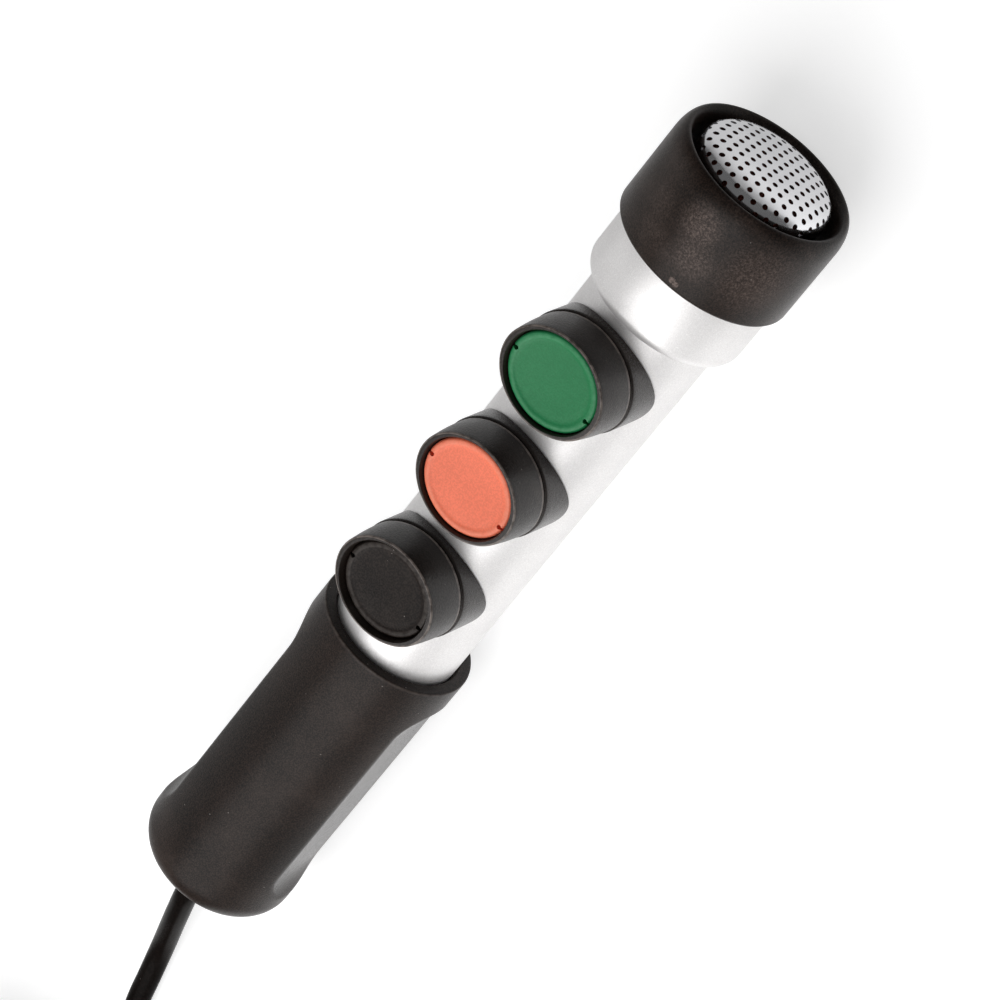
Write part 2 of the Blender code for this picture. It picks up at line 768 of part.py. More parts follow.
def make_cap(frame, colour, place):
    top = cap_top(colour)
    low = bezel_floor() + BUTTON_TRAVEL + CLEARANCE
    ceiling = recess_top(colour)
    round_along = CAP_ALONG - BUTTON_EDGE_ROUND
    round_across = CAP_ACROSS - BUTTON_EDGE_ROUND
    dish_along = CAP_ALONG - CAP_BORDER
    dish_across = CAP_ACROSS - CAP_BORDER
    sections = [
        (dish_along * CAP_DISH_FLOOR_SHARE, dish_across * CAP_DISH_FLOOR_SHARE, top - CAP_DISH),
        (dish_along, dish_across, top),
        (round_along, round_across, top),
        (CAP_ALONG, CAP_ACROSS, top - BUTTON_EDGE_ROUND),
        (CAP_ALONG, CAP_ACROSS, low),
        (CAP_RECESS_RADIUS, CAP_RECESS_RADIUS, low),
        (CAP_RECESS_RADIUS, CAP_RECESS_RADIUS, ceiling),
    ]
    ovals(f"cap_{colour}", sections, finish(f"cap_{colour}", *CAP_FINISHES[colour]), frame, place)

    high = ceiling - CLEARANCE
    collar = neck_end() - CLEARANCE
    stem = collar - PLUNGER_COLLAR_LENGTH
    tip = switch_top() - PLUNGER_IN_SWITCH
    profile = [
        (high, 0),
        (high, PLUNGER_RADIUS),
        (collar, PLUNGER_RADIUS),
        (collar, PLUNGER_COLLAR_RADIUS),
        (stem, PLUNGER_COLLAR_RADIUS),
        (stem, PLUNGER_TIP_RADIUS),
        (tip, PLUNGER_TIP_RADIUS),
        (tip, 0),
    ]
    plunger = turned(f"plunger_{colour}", profile, black_plastic(), frame, THIN_STEPS, along=False)
    plunger.location = (place, 0, 0)


def make_switch(frame, colour, place):
    high = switch_top()
    low = high - SWITCH_HEIGHT
    half_along = SWITCH_ALONG / 2
    half_across = SWITCH_ACROSS / 2
    switch = block(
        f"switch_{colour}",
        (place - half_along, -half_across, low),
        (place + half_along, half_across, high),
        black_plastic(),
        frame,
    )
    depth = PLUNGER_IN_SWITCH + BUTTON_TRAVEL + CLEARANCE
    well = post(
        f"switch_well_{colour}",
        PLUNGER_TIP_RADIUS + CLEARANCE,
        high - depth,
        high + OVERRUN,
        None,
        frame,
        (place, 0),
        THIN_STEPS,
        CUTTERS,
    )
    cut(switch, well)


def make_spring(frame, colour, place):
    low = bezel_floor() + CLEARANCE + SPRING_WIRE_RADIUS
    high = recess_top(colour) - CLEARANCE - SPRING_WIRE_RADIUS
    count = 8 * SPRING_TURNS
    line = []
    for step in range(count + 1):
        angle = 2 * math.pi * SPRING_TURNS * step / count
        height = low + (high - low) * step / count
        line.append((place + SPRING_RADIUS * math.cos(angle), SPRING_RADIUS * math.sin(angle), height))
    wire(f"spring_{colour}", line, SPRING_WIRE_RADIUS, bright_steel(), frame)


def make_buttons(frame):
    for number, colour in enumerate(BUTTONS):
        place = button_place(number)
        make_saddle(frame, colour, place)
        make_bezel(frame, colour, place)
        make_cap(frame, colour, place)
        make_switch(frame, colour, place)
        make_spring(frame, colour, place)


# Lead: out of the strain relief, down onto the table and into a neat round coil behind the grip.
# The route's places are chosen by hand, in the part's own frame.
CORD_ROUTE = [
    (-0.12317, 0.0, 0.01924),
    (-0.12617, 0.0, 0.01910),
    (-0.12967, 0.0, 0.01832),
    (-0.13325, 0.0, 0.01684),
    (-0.13732, 0.0, 0.01487),
    (-0.14180, 0.00005, 0.01261),
    (-0.14775, 0.00015, 0.00943),
    (-0.15572, 0.0003, 0.00543),
    (-0.16267, 0.0, 0.00330),
    (-0.16962, -0.0015, 0.00302),
    (-0.17737, -0.0031, 0.00302),
    (-0.18502, -0.0058, 0.00302),
    (-0.19292, -0.0102, 0.00304),
    (-0.20092, -0.0154, 0.00315),
    (-0.20942, -0.0209, 0.00345),
    (-0.21572, -0.0250, 0.00380),
    (-0.22068, -0.02816, 0.00390),
]
TAIL_ROUTE = [
    (-0.23762, 0.0280, 0.02370),
    (-0.23342, 0.0280, 0.02375),
    (-0.22792, 0.0280, 0.02415),
    (-0.21782, 0.0255, 0.02550),
    (-0.20952, 0.0186, 0.02740),
    (-0.20472, 0.0085, 0.02920),
    (-0.20432, -0.0028, 0.03080),
    (-0.20822, -0.0133, 0.03220),
    (-0.21592, -0.0210, 0.03320),
    (-0.22142, -0.0240, 0.03348),
    (-0.22562, -0.0245, 0.03350),
]
ROUTE_SPACING = 0.0060
TIE_THICKNESS = 0.0006
TIE_WIDTH = 0.0080
TIE_TURN_DEG = 214
COIL_CENTRE = (-0.24392, -0.0045)
COIL_OUTER = 0.0325
COIL_TURN_GAP = 0.0006
COIL_LAYER_GAP = 0.0006
COIL_LAYERS = 4
COIL_START_DEG = 303
COIL_END_DEG = 90
COIL_WHOLE_TURNS = 5
COIL_POINTS_A_TURN = 24


def coil_bottom():
    return TIE_THICKNESS + CLEARANCE + CORD_RADIUS


def coil_layer_height():
    return 2 * CORD_RADIUS + COIL_LAYER_GAP


def coil_top():
    return coil_bottom() + (COIL_LAYERS - 1) * coil_layer_height() + CORD_RADIUS


def coil_turns():
    return COIL_WHOLE_TURNS + (COIL_START_DEG - COIL_END_DEG) / 360


def coil_inner():
    return COIL_OUTER - (2 * CORD_RADIUS + COIL_TURN_GAP) * coil_turns() / COIL_LAYERS


def coil_place(turned_by):
    # Where the coil's centre line is after so many turns: layers spiral in and out in turn, and the line
    # climbs one layer in the half turn about each place where the spiral reverses.
    per_layer = coil_turns() / COIL_LAYERS
    layer = min(int(turned_by / per_layer), COIL_LAYERS - 1)
    part = turned_by / per_layer - layer
    inward = part if layer % 2 == 0 else 1 - part
    radius = COIL_OUTER + (coil_inner() - COIL_OUTER) * inward
    climbed = 0
    for reversal in range(1, COIL_LAYERS):
        climbed += min(1, max(0, (turned_by - reversal * per_layer) * 2 + 1 / 2))
    angle = math.radians(COIL_START_DEG) - 2 * math.pi * turned_by
    return Vector(
        (
            COIL_CENTRE[0] + radius * math.cos(angle),
            COIL_CENTRE[1] + radius * math.sin(angle),
            coil_bottom() + coil_layer_height() * climbed,
        )
    )


def coil_line():
    count = round(coil_turns() * COIL_POINTS_A_TURN)
    line = [coil_place(coil_turns() * step / count) for step in range(count + 1)]
    for end, heading_deg in ((0, COIL_START_DEG - 90), (-1, COIL_END_DEG - 90)):
        heading = Vector((math.cos(math.radians(heading_deg)), math.sin(math.radians(heading_deg)), 0))
        if end == 0:
            line.insert(0, line[0] - 2 * CORD_RADIUS * heading)
        else:
            line.append(line[-1] + 2 * CORD_RADIUS * heading)
    return line


def least_gap(line, radius, apart):
    # The least room between stretches of one wire that are more than so many points apart.
    least = math.inf
    for number, point in enumerate(line):
        for start, end in zip(line[number + apart :], line[number + apart + 1 :]):
            near, share = geometry.intersect_point_line(point, start, end)
            near = start.lerp(end, min(1, max(0, share)))
            least = min(least, (point - near).length)
    return least - 2 * radius


def length_of(line):
    return sum((end - start).length for start, end in zip(line, line[1:]))


def make_cord():
    material = black_plastic()
    free = smooth_line(CORD_ROUTE, ROUTE_SPACING)
    coil = coil_line()
    tail = smooth_line(TAIL_ROUTE, ROUTE_SPACING)
    wire("cord_free", free, CORD_RADIUS, material, roundness=2)
    wire("cord_coil", coil, CORD_RADIUS, material)
    wire("cord_tail", tail, CORD_RADIUS, material, roundness=2)
    gap = least_gap(coil, CORD_RADIUS, COIL_POINTS_A_TURN // 2)
    print("Coil's least gap to itself, metres:", round(gap, 5))
    print("Cord length, metres:", round(length_of(free) + length_of(coil) + length_of(tail), 4))


def make_tie():
    # A flat strap round the coil's bundle, as a strip of faces given its thickness outwards.
    near = math.sqrt((coil_inner() - CORD_RADIUS) ** 2 - (TIE_WIDTH / 2) ** 2) - CLEARANCE
    far = COIL_OUTER + CORD_RADIUS + CLEARANCE
    low = TIE_THICKNESS
    high = coil_top() + CLEARANCE
    corner = CORD_RADIUS
    outline = []
    for x, y, start_deg in (
        (far - corner, high - corner, 0),
        (near + corner, high - corner, 90),
        (near + corner, low + corner, 180),
        (far - corner, low + corner, 270),
    ):
        outline += round_edge(x, y, corner, start_deg, start_deg + 90, 3)
    shape = bmesh.new()
    sides = []
    for side in (-1, 1):
        sides.append([shape.verts.new((x, side * TIE_WIDTH / 2, z)) for x, z in outline])
    for step in range(len(outline)):
        after = (step + 1) % len(outline)
        shape.faces.new((sides[0][step], sides[0][after], sides[1][after], sides[1][step]))
    tie = from_bmesh("coil_tie", shape, finish("strap", (0.03, 0.03, 0.03), 0.7), None)
    tie.location = (*COIL_CENTRE, 0)
    tie.rotation_euler = (0, 0, math.radians(TIE_TURN_DEG))
    wall = tie.modifiers.new("wall", "SOLIDIFY")
    wall.thickness = TIE_THICKNESS
    wall.offset = 1


# Plug: a small round plug with five pins, lying on the coil
PLUG_SIDE = 0.0200
PLUG_START = 0.0180
PLUG_BODY_RADIUS = 0.0065
PLUG_BODY_LENGTH = 0.0185
PLUG_BODY_ROUND = 0.0010
BOOT_LENGTH = 0.0110
BOOT_RADIUS = 0.0050
BOOT_TIP_RADIUS = 0.0038
SHELL_RADIUS = 0.0047
SHELL_WALL = 0.0005
SHELL_LENGTH = 0.0080
INSERT_SETBACK = 0.0055
PIN_RADIUS = 0.0005
PIN_CIRCLE = 0.0025
PIN_SETBACK = 0.0010
PIN_COUNT = 5
PIN_SIDES = 8


def make_plug():
    frame = bpy.data.objects.new("plug_frame", None)
    bpy.data.collections[PARTS].objects.link(frame)
    height = coil_top() + CLEARANCE + PLUG_BODY_RADIUS
    frame.location = (COIL_CENTRE[0] + PLUG_START, COIL_CENTRE[1] - PLUG_SIDE, height)
    frame.rotation_euler = (0, 0, math.radians(180))

    boot = [(BOOT_LENGTH, 0), (BOOT_LENGTH, BOOT_RADIUS), (0, BOOT_TIP_RADIUS), (0, 0)]
    turned("plug_boot", boot, rubber(), frame, MIDDLE_STEPS)

    rear = BOOT_LENGTH + CLEARANCE
    front = rear + PLUG_BODY_LENGTH
    side = PLUG_BODY_RADIUS - PLUG_BODY_ROUND
    body = [(front, 0)]
    body += round_edge(front - PLUG_BODY_ROUND, side, PLUG_BODY_ROUND, 0, 90, 2)
    body += round_edge(rear + PLUG_BODY_ROUND, side, PLUG_BODY_ROUND, 90, 180, 2)
    body.append((rear, 0))
    turned("plug_body", body, black_plastic(), frame, MIDDLE_STEPS)

    rear = front + CLEARANCE
    front = rear + SHELL_LENGTH
    bore = SHELL_RADIUS - SHELL_WALL
    shell = [(front, SHELL_RADIUS), (rear, SHELL_RADIUS), (rear, bore), (front, bore)]
    turned("plug_shell", shell, bright_steel(), frame, MIDDLE_STEPS)

    disc = bore - CLEARANCE
    face = front - INSERT_SETBACK
    insert = [(face, 0), (face, disc), (rear, disc), (rear, 0)]
    turned("plug_insert", insert, black_plastic(), frame, MIDDLE_STEPS)

    start = face + CLEARANCE
    end = front - PIN_SETBACK
    for number in range(PIN_COUNT):
        pin = bar(f"plug_pin_{number + 1}", PIN_RADIUS, start, end, brass(), frame, sides=PIN_SIDES)
        angle = 2 * math.pi * number / PIN_COUNT
        pin.location.y = PIN_CIRCLE * math.cos(angle)
        pin.location.z = PIN_CIRCLE * math.sin(angle)


def main():
    start_clean()
    frame = lying_frame()
    make_tube(frame)
    make_collar(frame)
    make_ring(frame)
    make_grille(frame)
    make_head_insides(frame)
    make_core(frame)
    make_sleeve(frame)
    make_bush(frame)
    make_clamp(frame)
    make_board(frame)
    make_leads(frame)
    make_buttons(frame)
    make_cord()
    make_tie()
    make_plug()


main()
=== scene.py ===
import math

import bmesh
import bpy
from mathutils import Matrix, Vector, geometry


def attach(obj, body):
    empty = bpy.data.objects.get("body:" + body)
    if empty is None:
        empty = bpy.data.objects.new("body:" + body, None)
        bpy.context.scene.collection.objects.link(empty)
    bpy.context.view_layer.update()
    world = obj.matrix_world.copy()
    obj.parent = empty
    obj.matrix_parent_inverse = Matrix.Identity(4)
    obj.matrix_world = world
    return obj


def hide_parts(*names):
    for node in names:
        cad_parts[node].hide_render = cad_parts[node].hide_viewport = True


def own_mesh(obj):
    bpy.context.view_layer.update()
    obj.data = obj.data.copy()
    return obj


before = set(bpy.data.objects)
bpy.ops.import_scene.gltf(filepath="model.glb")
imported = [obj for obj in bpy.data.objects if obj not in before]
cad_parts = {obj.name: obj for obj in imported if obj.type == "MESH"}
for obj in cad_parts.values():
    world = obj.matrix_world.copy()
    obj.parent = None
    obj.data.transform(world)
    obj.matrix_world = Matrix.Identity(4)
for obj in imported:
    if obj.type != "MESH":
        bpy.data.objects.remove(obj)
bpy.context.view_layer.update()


# CAMERA
# A long lens high above the head and to one side of it, rolled so that the microphone runs up the
# picture from lower left to upper right, as it was photographed.


def stand(name, data):
    # Puts new data in the scene as an object of that name
    made = bpy.data.objects.new(name, data)
    bpy.context.scene.collection.objects.link(made)
    return made


camera = stand("camera", bpy.data.cameras.new("camera"))
camera.data.sensor_width = 36
camera.data.lens = 156.46
camera.data.clip_start = 0.05
camera.data.clip_end = 20
camera.location = (0.531961, -0.218707, 0.809521)
camera.rotation_mode = "QUATERNION"
camera.rotation_quaternion = (0.8758951, -0.0008436, 0.3046522, -0.3741577)
bpy.context.scene.camera = camera


# LEAD
# A round PVC-covered lead, 6 mm thick. It leaves the grip, drops to the table, runs back along it and is
# wound into a coil of 5.6 turns in four layers; its last stretch comes over the coil to the plug.
CORD_RADIUS = 0.0030
CORD_ROUTE = [
    (-0.12317, 0.0, 0.01924),
    (-0.12617, 0.0, 0.01910),
    (-0.12967, 0.0, 0.01832),
    (-0.13325, 0.0, 0.01684),
    (-0.13732, 0.0, 0.01487),
    (-0.14180, 0.00005, 0.01261),
    (-0.14775, 0.00015, 0.00943),
    (-0.15572, 0.00012, 0.00543),
    (-0.16267, -0.00048, 0.00330),
    (-0.16962, -0.0019, 0.00302),
    (-0.17737, -0.0036, 0.00302),
    (-0.18502, -0.0061, 0.00302),
    (-0.19292, -0.0102, 0.00304),
    (-0.20092, -0.0154, 0.00315),
    (-0.20942, -0.0209, 0.00345),
    (-0.21572, -0.0250, 0.00380),
    (-0.22068, -0.02816, 0.00390),
]
TAIL_ROUTE = [
    (-0.23762, 0.0280, 0.02370),
    (-0.23342, 0.0280, 0.02375),
    (-0.22792, 0.0280, 0.02415),
    (-0.21782, 0.0255, 0.02550),
    (-0.20952, 0.0186, 0.02740),
    (-0.20472, 0.0085, 0.02920),
    (-0.20432, -0.0028, 0.03080),
    (-0.20822, -0.0133, 0.03220),
    (-0.21592, -0.0210, 0.03320),
    (-0.22142, -0.0240, 0.03348),
    (-0.22562, -0.0245, 0.03350),
]
ROUTE_SPACING = 0.002
COIL_CENTRE = (-0.24392, -0.0045)
COIL_TURNS = 5.591667
COIL_LAYERS = 4
COIL_PITCH = 0.0066
COIL_OUTER = 0.0325
COIL_INNER = COIL_OUTER - COIL_PITCH * COIL_TURNS / COIL_LAYERS
COIL_BOTTOM = 0.0039
COIL_START_DEG = 303
COIL_POINTS = 280
CLIMB_TURNS = 0.5


def smooth_line(points, spacing):
    # A smooth curve through chosen points, read off at about the given spacing
    places = [Vector(point) for point in points]
    padded = [2 * places[0] - places[1], *places, 2 * places[-1] - places[-2]]
    line = []
    for before, start, end, after in zip(padded, padded[1:], padded[2:], padded[3:]):
        steps = max(1, round((end - start).length / spacing))
        for step in range(steps):
            t = step / steps
            slope = (end - before) * t
            bend = (2 * before - 5 * start + 4 * end - after) * t * t
            twist = (3 * start - before - 3 * end + after) * t * t * t
            line.append((2 * start + slope + bend + twist) / 2)
    return [*line, places[-1]]


def coil_place(turned_by):
    # Layers spiral in and out in turn, and the line climbs a layer about each place where that reverses
    per_layer = COIL_TURNS / COIL_LAYERS
    layer = min(int(turned_by / per_layer), COIL_LAYERS - 1)
    part = turned_by / per_layer - layer
    inward = part if layer % 2 == 0 else 1 - part
    radius = COIL_OUTER + (COIL_INNER - COIL_OUTER) * inward
    climbed = 0
    for reversal in range(1, COIL_LAYERS):
        climbed += min(1, max(0, (turned_by - reversal * per_layer) / CLIMB_TURNS + 0.5))
    angle = math.radians(COIL_START_DEG) - 2 * math.pi * turned_by
    return Vector(
        (
            COIL_CENTRE[0] + radius * math.cos(angle),
            COIL_CENTRE[1] + radius * math.sin(angle),
            COIL_BOTTOM + COIL_PITCH * climbed,
        )
    )


def add_curve(name, line, radius, roundness=6):
    data = bpy.data.curves.new(name, "CURVE")
    data.dimensions = "3D"
    data.bevel_depth = radius
    data.bevel_resolution = roundness
    data.use_fill_caps = True
    spline = data.splines.new("POLY")
    spline.points.add(len(line) - 1)
    for point, place in zip(spline.points, line):
        point.co = (*place, 1)
    return stand(name, data)


def put(tree, kind, inputs=None, **settings):
    # Adds a node; each input is given a value, or joined to another node's output
    made = tree.nodes.new(kind)
    for name, value in settings.items():
        setattr(made, name, value)
    for name, value in (inputs or {}).items():
        if isinstance(value, bpy.types.NodeSocket):
            tree.links.new(value, made.inputs[name])
        else:
            made.inputs[name].default_value = value
    return made


def surface_place(tree):
    # Where a point of the surface is, in the object's own coordinates
    return put(tree, "ShaderNodeTexCoord").outputs["Object"]


def noise(tree, place, scale, detail, roughness=0.5):
    inputs = {"Vector": place, "Scale": scale, "Detail": detail, "Roughness": roughness}
    return put(tree, "ShaderNodeTexNoise", inputs).outputs[0]


def calculate(tree, operation, first, second, clamp=False):
    return put(tree, "ShaderNodeMath", {0: first, 1: second}, operation=operation, use_clamp=clamp).outputs[0]


def ramp(tree, value, low, high, to_low=0.0, to_high=1.0):
    inputs = {"Value": value, "From Min": low, "From Max": high, "To Min": to_low, "To Max": to_high}
    return put(tree, "ShaderNodeMapRange", inputs, interpolation_type="SMOOTHSTEP").outputs[0]


def mix_colours(tree, share, first, second):
    return put(tree, "ShaderNodeMix", {0: share, 6: first, 7: second}, data_type="RGBA").outputs[2]


def new_group(name, inputs, outputs):
    # A node group with its own inputs and outputs, returned with the sockets of its two end nodes
    group = bpy.data.node_groups.new(name, "ShaderNodeTree")
    for socket, value in inputs.items():
        made = group.interface.new_socket(socket, in_out="INPUT", socket_type="NodeSocketFloat")
        made.default_value = value
    for socket in outputs:
        group.interface.new_socket(socket, in_out="OUTPUT", socket_type="NodeSocketFloat")
    return group, group.nodes.new("NodeGroupInput").outputs, group.nodes.new("NodeGroupOutput").inputs


def moulded_grain():
    # The fine pebbled skin of moulded plastic and rubber, and the fine and slow changes of tone across it
    inputs = {"Grains per metre": 3500.0, "Patches per metre": 60.0}
    group, given, result = new_group("moulded_grain", inputs, ["Height", "Tone"])
    place = surface_place(group)
    scale = given["Grains per metre"]
    fine = noise(group, place, scale, 3.0, 0.6)
    cells = put(group, "ShaderNodeTexVoronoi", {"Vector": place, "Scale": scale}, feature="SMOOTH_F1")
    pebbles = calculate(group, "MULTIPLY", cells.outputs["Distance"], 0.6)
    group.links.new(calculate(group, "ADD", fine, pebbles), result["Height"])
    slow = ramp(group, noise(group, place, given["Patches per metre"], 4.0), 0.3, 0.7, 0.0, 0.4)
    quick = ramp(group, noise(group, place, scale, 2.0), 0.38, 0.64, 0.0, 0.6)
    group.links.new(calculate(group, "ADD", slow, quick), result["Tone"])
    return group


def dust():
    # Pale specks of dust that cling here and there, and faint rubbed smudges
    inputs = {"Specks per metre": 900.0, "Amount": 0.1, "Smudges per metre": 45.0, "Smudge amount": 0.3}
    group, given, result = new_group("dust", inputs, ["Specks", "Smudges"])
    place = surface_place(group)
    cells = put(group, "ShaderNodeTexVoronoi", {"Vector": place, "Scale": given["Specks per metre"]})
    chance = put(group, "ShaderNodeSeparateColor", {0: cells.outputs["Color"]}).outputs
    chosen = calculate(group, "LESS_THAN", chance[0], given["Amount"])
    size = ramp(group, chance[1], 0.2, 1.0, 0.05, 0.16)
    dot = calculate(group, "LESS_THAN", cells.outputs["Distance"], size)
    group.links.new(calculate(group, "MULTIPLY", chosen, dot), result["Specks"])
    rubbed = ramp(group, noise(group, place, given["Smudges per metre"], 6.0, 0.65), 0.52, 0.72)
    group.links.new(calculate(group, "MULTIPLY", rubbed, given["Smudge amount"]), result["Smudges"])
    return group


def worn_edges():
    # Edges that handling has rubbed paler, broken up so that no edge is evenly worn; a piece's "wear"
    # attribute says where its edges are
    group, given, result = new_group("worn_edges", {"Breaks per metre": 700.0}, ["Mask"])
    place = surface_place(group)
    edge = put(group, "ShaderNodeAttribute", attribute_name="wear").outputs["Fac"]
    broken = ramp(group, noise(group, place, given["Breaks per metre"], 5.0), 0.3, 0.62, 0.25, 1.0)
    group.links.new(calculate(group, "MULTIPLY", edge, broken), result["Mask"])
    return group


GRAIN = moulded_grain()
DUST = dust()
WORN = worn_edges()


def new_material(name, metallic=0.0, specular=0.5, coat=0.0):
    made = bpy.data.materials.new(name)
    made.use_nodes = True
    shader = made.node_tree.nodes["Principled BSDF"]
    shader.inputs["Metallic"].default_value = metallic
    shader.inputs["Specular IOR Level"].default_value = specular
    shader.inputs["Coat Weight"].default_value = coat
    return made, made.node_tree, shader


def grouped(tree, group, values):
    made = tree.nodes.new("ShaderNodeGroup")
    made.node_tree = group
    for socket, value in values.items():
        made.inputs[socket].default_value = value
    return made.outputs


def bump(tree, shader, height, depth):
    made = put(tree, "ShaderNodeBump", {"Height": height, "Distance": depth, "Strength": 1.0})
    tree.links.new(made.outputs[0], shader.inputs["Normal"])


def soil(tree, shader, tone, shine, dirt, specks, speck_tone, dulling):
    # Joins a tone and a roughness to the shader, with the dust's specks on the tone and its smudges duller
    share = calculate(tree, "MULTIPLY", dirt["Specks"], specks)
    tree.links.new(mix_colours(tree, share, tone, (*speck_tone, 1)), shader.inputs["Base Color"])
    shine = calculate(tree, "ADD", shine, calculate(tree, "MULTIPLY", dirt["Smudges"], dulling), clamp=True)
    tree.links.new(shine, shader.inputs["Roughness"])


def moulded(
    name, colour, pale, rough, grain, depth, specks=0.05, smudge=0.2, patches=60, specular=0.3, vary=0.5
):
    # Plastic or rubber out of a mould: its colour, the paler tone that wear and dust give it, its roughness
    # range, the grains in a metre and their depth, how much dust and smudging it has, the patches of tone
    # in a metre, its gloss, and how far its tone varies
    made, tree, shader = new_material(name, specular=specular)
    skin = grouped(tree, GRAIN, {"Grains per metre": grain, "Patches per metre": patches})
    dirt = grouped(tree, DUST, {"Amount": specks, "Smudge amount": smudge})
    wear = grouped(tree, WORN, {})
    deep, high = (tuple(level * part for part in colour) for level in (1 - vary, 1 + vary))
    tone = mix_colours(tree, skin["Tone"], (*deep, 1), (*high, 1))
    tone = mix_colours(tree, dirt["Smudges"], tone, (*pale, 1))
    tone = mix_colours(tree, wear["Mask"], tone, (*pale, 1))
    shine = ramp(tree, skin["Tone"], 0, 1, rough[1], rough[0])
    soil(tree, shader, tone, shine, dirt, 0.35, (0.42, 0.38, 0.35), 0.2)
    bump(tree, shader, skin["Height"], depth)
    return made


lead_points = smooth_line(CORD_ROUTE, ROUTE_SPACING)
lead_points += [coil_place(COIL_TURNS * step / COIL_POINTS) for step in range(COIL_POINTS + 1)]
lead_points += smooth_line(TAIL_ROUTE, ROUTE_SPACING)
lead_pvc = moulded(
    "lead_pvc",
    (0.006, 0.0045, 0.004),
    (0.02, 0.018, 0.017),
    (0.27, 0.33),
    1500,
    0.000005,
    specks=0.02,
    smudge=0.1,
    specular=0.02,
)
lead = add_curve("lead", lead_points, CORD_RADIUS)
lead.data.materials.append(lead_pvc)
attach(lead, "microphone")
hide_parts("cord_free", "cord_coil", "cord_tail")


def add_piece(name, vertices, faces, material, sharp_deg=40):
    # A mesh whose object stays at the origin, smooth but for edges sharper than the angle
    data = bpy.data.meshes.new(name)
    data.from_pydata([tuple(vertex) for vertex in vertices], [], faces)
    data.materials.append(material)
    shape = bmesh.new()
    shape.from_mesh(data)
    bmesh.ops.remove_doubles(shape, verts=shape.verts, dist=0.000001)
    bmesh.ops.recalc_face_normals(shape, faces=shape.faces)
    shape.to_mesh(data)
    shape.free()
    data.shade_smooth()
    data.set_sharp_from_angle(angle=math.radians(sharp_deg))
    return stand(name, data)


def turn(profile, sides, place=Matrix.Identity(4)):
    # Vertices and faces of a profile of (along, radius) points turned about the X axis, then put in place;
    # a profile that starts and ends on the axis is solid, and any other is closed up as a ring
    vertices, faces, count = [], [], len(profile)
    for step in range(sides):
        angle = 2 * math.pi * step / sides
        for along, radius in profile:
            vertices.append(place @ Vector((along, radius * math.cos(angle), radius * math.sin(angle))))
    closed = profile[0][1] > 0
    for step in range(sides):
        here, there = step * count, (step + 1) % sides * count
        for row in range(count if closed else count - 1):
            after = (row + 1) % count
            face = [here + row, here + after, there + after, there + row]
            if profile[row][1] == 0:
                face = face[:3]
            elif profile[after][1] == 0:
                face = [face[0], face[1], face[3]]
            faces.append(face)
    return vertices, faces


def arc(along, radius, size, start_deg, end_deg, count=8):
    # Profile points on an arc about (along, radius): 0 degrees points to the front and 90 degrees outwards
    points = []
    for step in range(count + 1):
        angle = math.radians(start_deg + (end_deg - start_deg) * step / count)
        points.append((along + size * math.cos(angle), radius + size * math.sin(angle)))
    return points


# PLUG
# A small round five-pin plug on the end of the lead: a ribbed rubber boot, a moulded body with grip grooves,
# a bright steel shell with its key slot, and a dark insert that holds five gilt pins. It lies on the coil.
PLUG_PLACE = Matrix.Translation((-0.22592, -0.0245, 0.0335)) @ Matrix.Rotation(math.pi, 4, "Z")
BOOT_LENGTH = 0.0110
BOOT_SMALL = 0.0038
BOOT_LARGE = 0.0050
RIB_COUNT = 5
RIB_DEPTH = 0.0007
BODY_START = 0.0113
BODY_LENGTH = 0.0185
BODY_RADIUS = 0.0065
BODY_ROUND = 0.001
GROOVE_COUNT = 6
GROOVE_INSET = 0.0040
GROOVE_PITCH = 0.0019
GROOVE_DEPTH = 0.0004
SHELL_START = 0.0301
SHELL_LENGTH = 0.0080
SHELL_RADIUS = 0.0047
SHELL_WALL = 0.0005


def brushed():
    # Fine lines round or along a turned or drawn metal piece, and the slow tone of handled metal
    inputs = {"Lines per metre": 4000.0, "Stretch": 0.04}
    group, given, result = new_group("brushed", inputs, ["Lines", "Tone"])
    place = surface_place(group)
    parts = put(group, "ShaderNodeSeparateXYZ", {0: place}).outputs
    across = calculate(group, "MULTIPLY", parts[1], given["Stretch"])
    upright = calculate(group, "MULTIPLY", parts[2], given["Stretch"])
    drawn = put(group, "ShaderNodeCombineXYZ", {0: parts[0], 1: across, 2: upright}).outputs[0]
    group.links.new(noise(group, drawn, given["Lines per metre"], 4.0), result["Lines"])
    group.links.new(ramp(group, noise(group, place, 120.0, 3.0), 0.3, 0.7), result["Tone"])
    return group


BRUSHED = brushed()


def turned_metal(name, colour, rough, lines=4000.0):
    # Bare or plated metal with tool lines; its tone and roughness change slowly over it
    made, tree, shader = new_material(name, metallic=1.0)
    marks = grouped(tree, BRUSHED, {"Lines per metre": lines, "Stretch": 0.04})
    dull = tuple(0.8 * part for part in colour)
    tree.links.new(mix_colours(tree, marks["Tone"], (*dull, 1), (*colour, 1)), shader.inputs["Base Color"])
    shine = ramp(tree, marks["Lines"], 0.3, 0.7, rough[0], rough[1])
    tree.links.new(shine, shader.inputs["Roughness"])
    bump(tree, shader, marks["Lines"], 0.000004)
    return made


steel = turned_metal("bright_steel", (0.70, 0.70, 0.71), (0.12, 0.26))
gilt = turned_metal("gilt_brass", (0.78, 0.56, 0.24), (0.2, 0.35))
dark = (0.019, 0.016, 0.015)
soft_rubber = moulded("soft_rubber", dark, (0.06, 0.052, 0.048), (0.5, 0.62), 3000, 0.00002)
hard_plastic = moulded("hard_plastic", dark, (0.07, 0.062, 0.058), (0.4, 0.52), 4000, 0.00002)

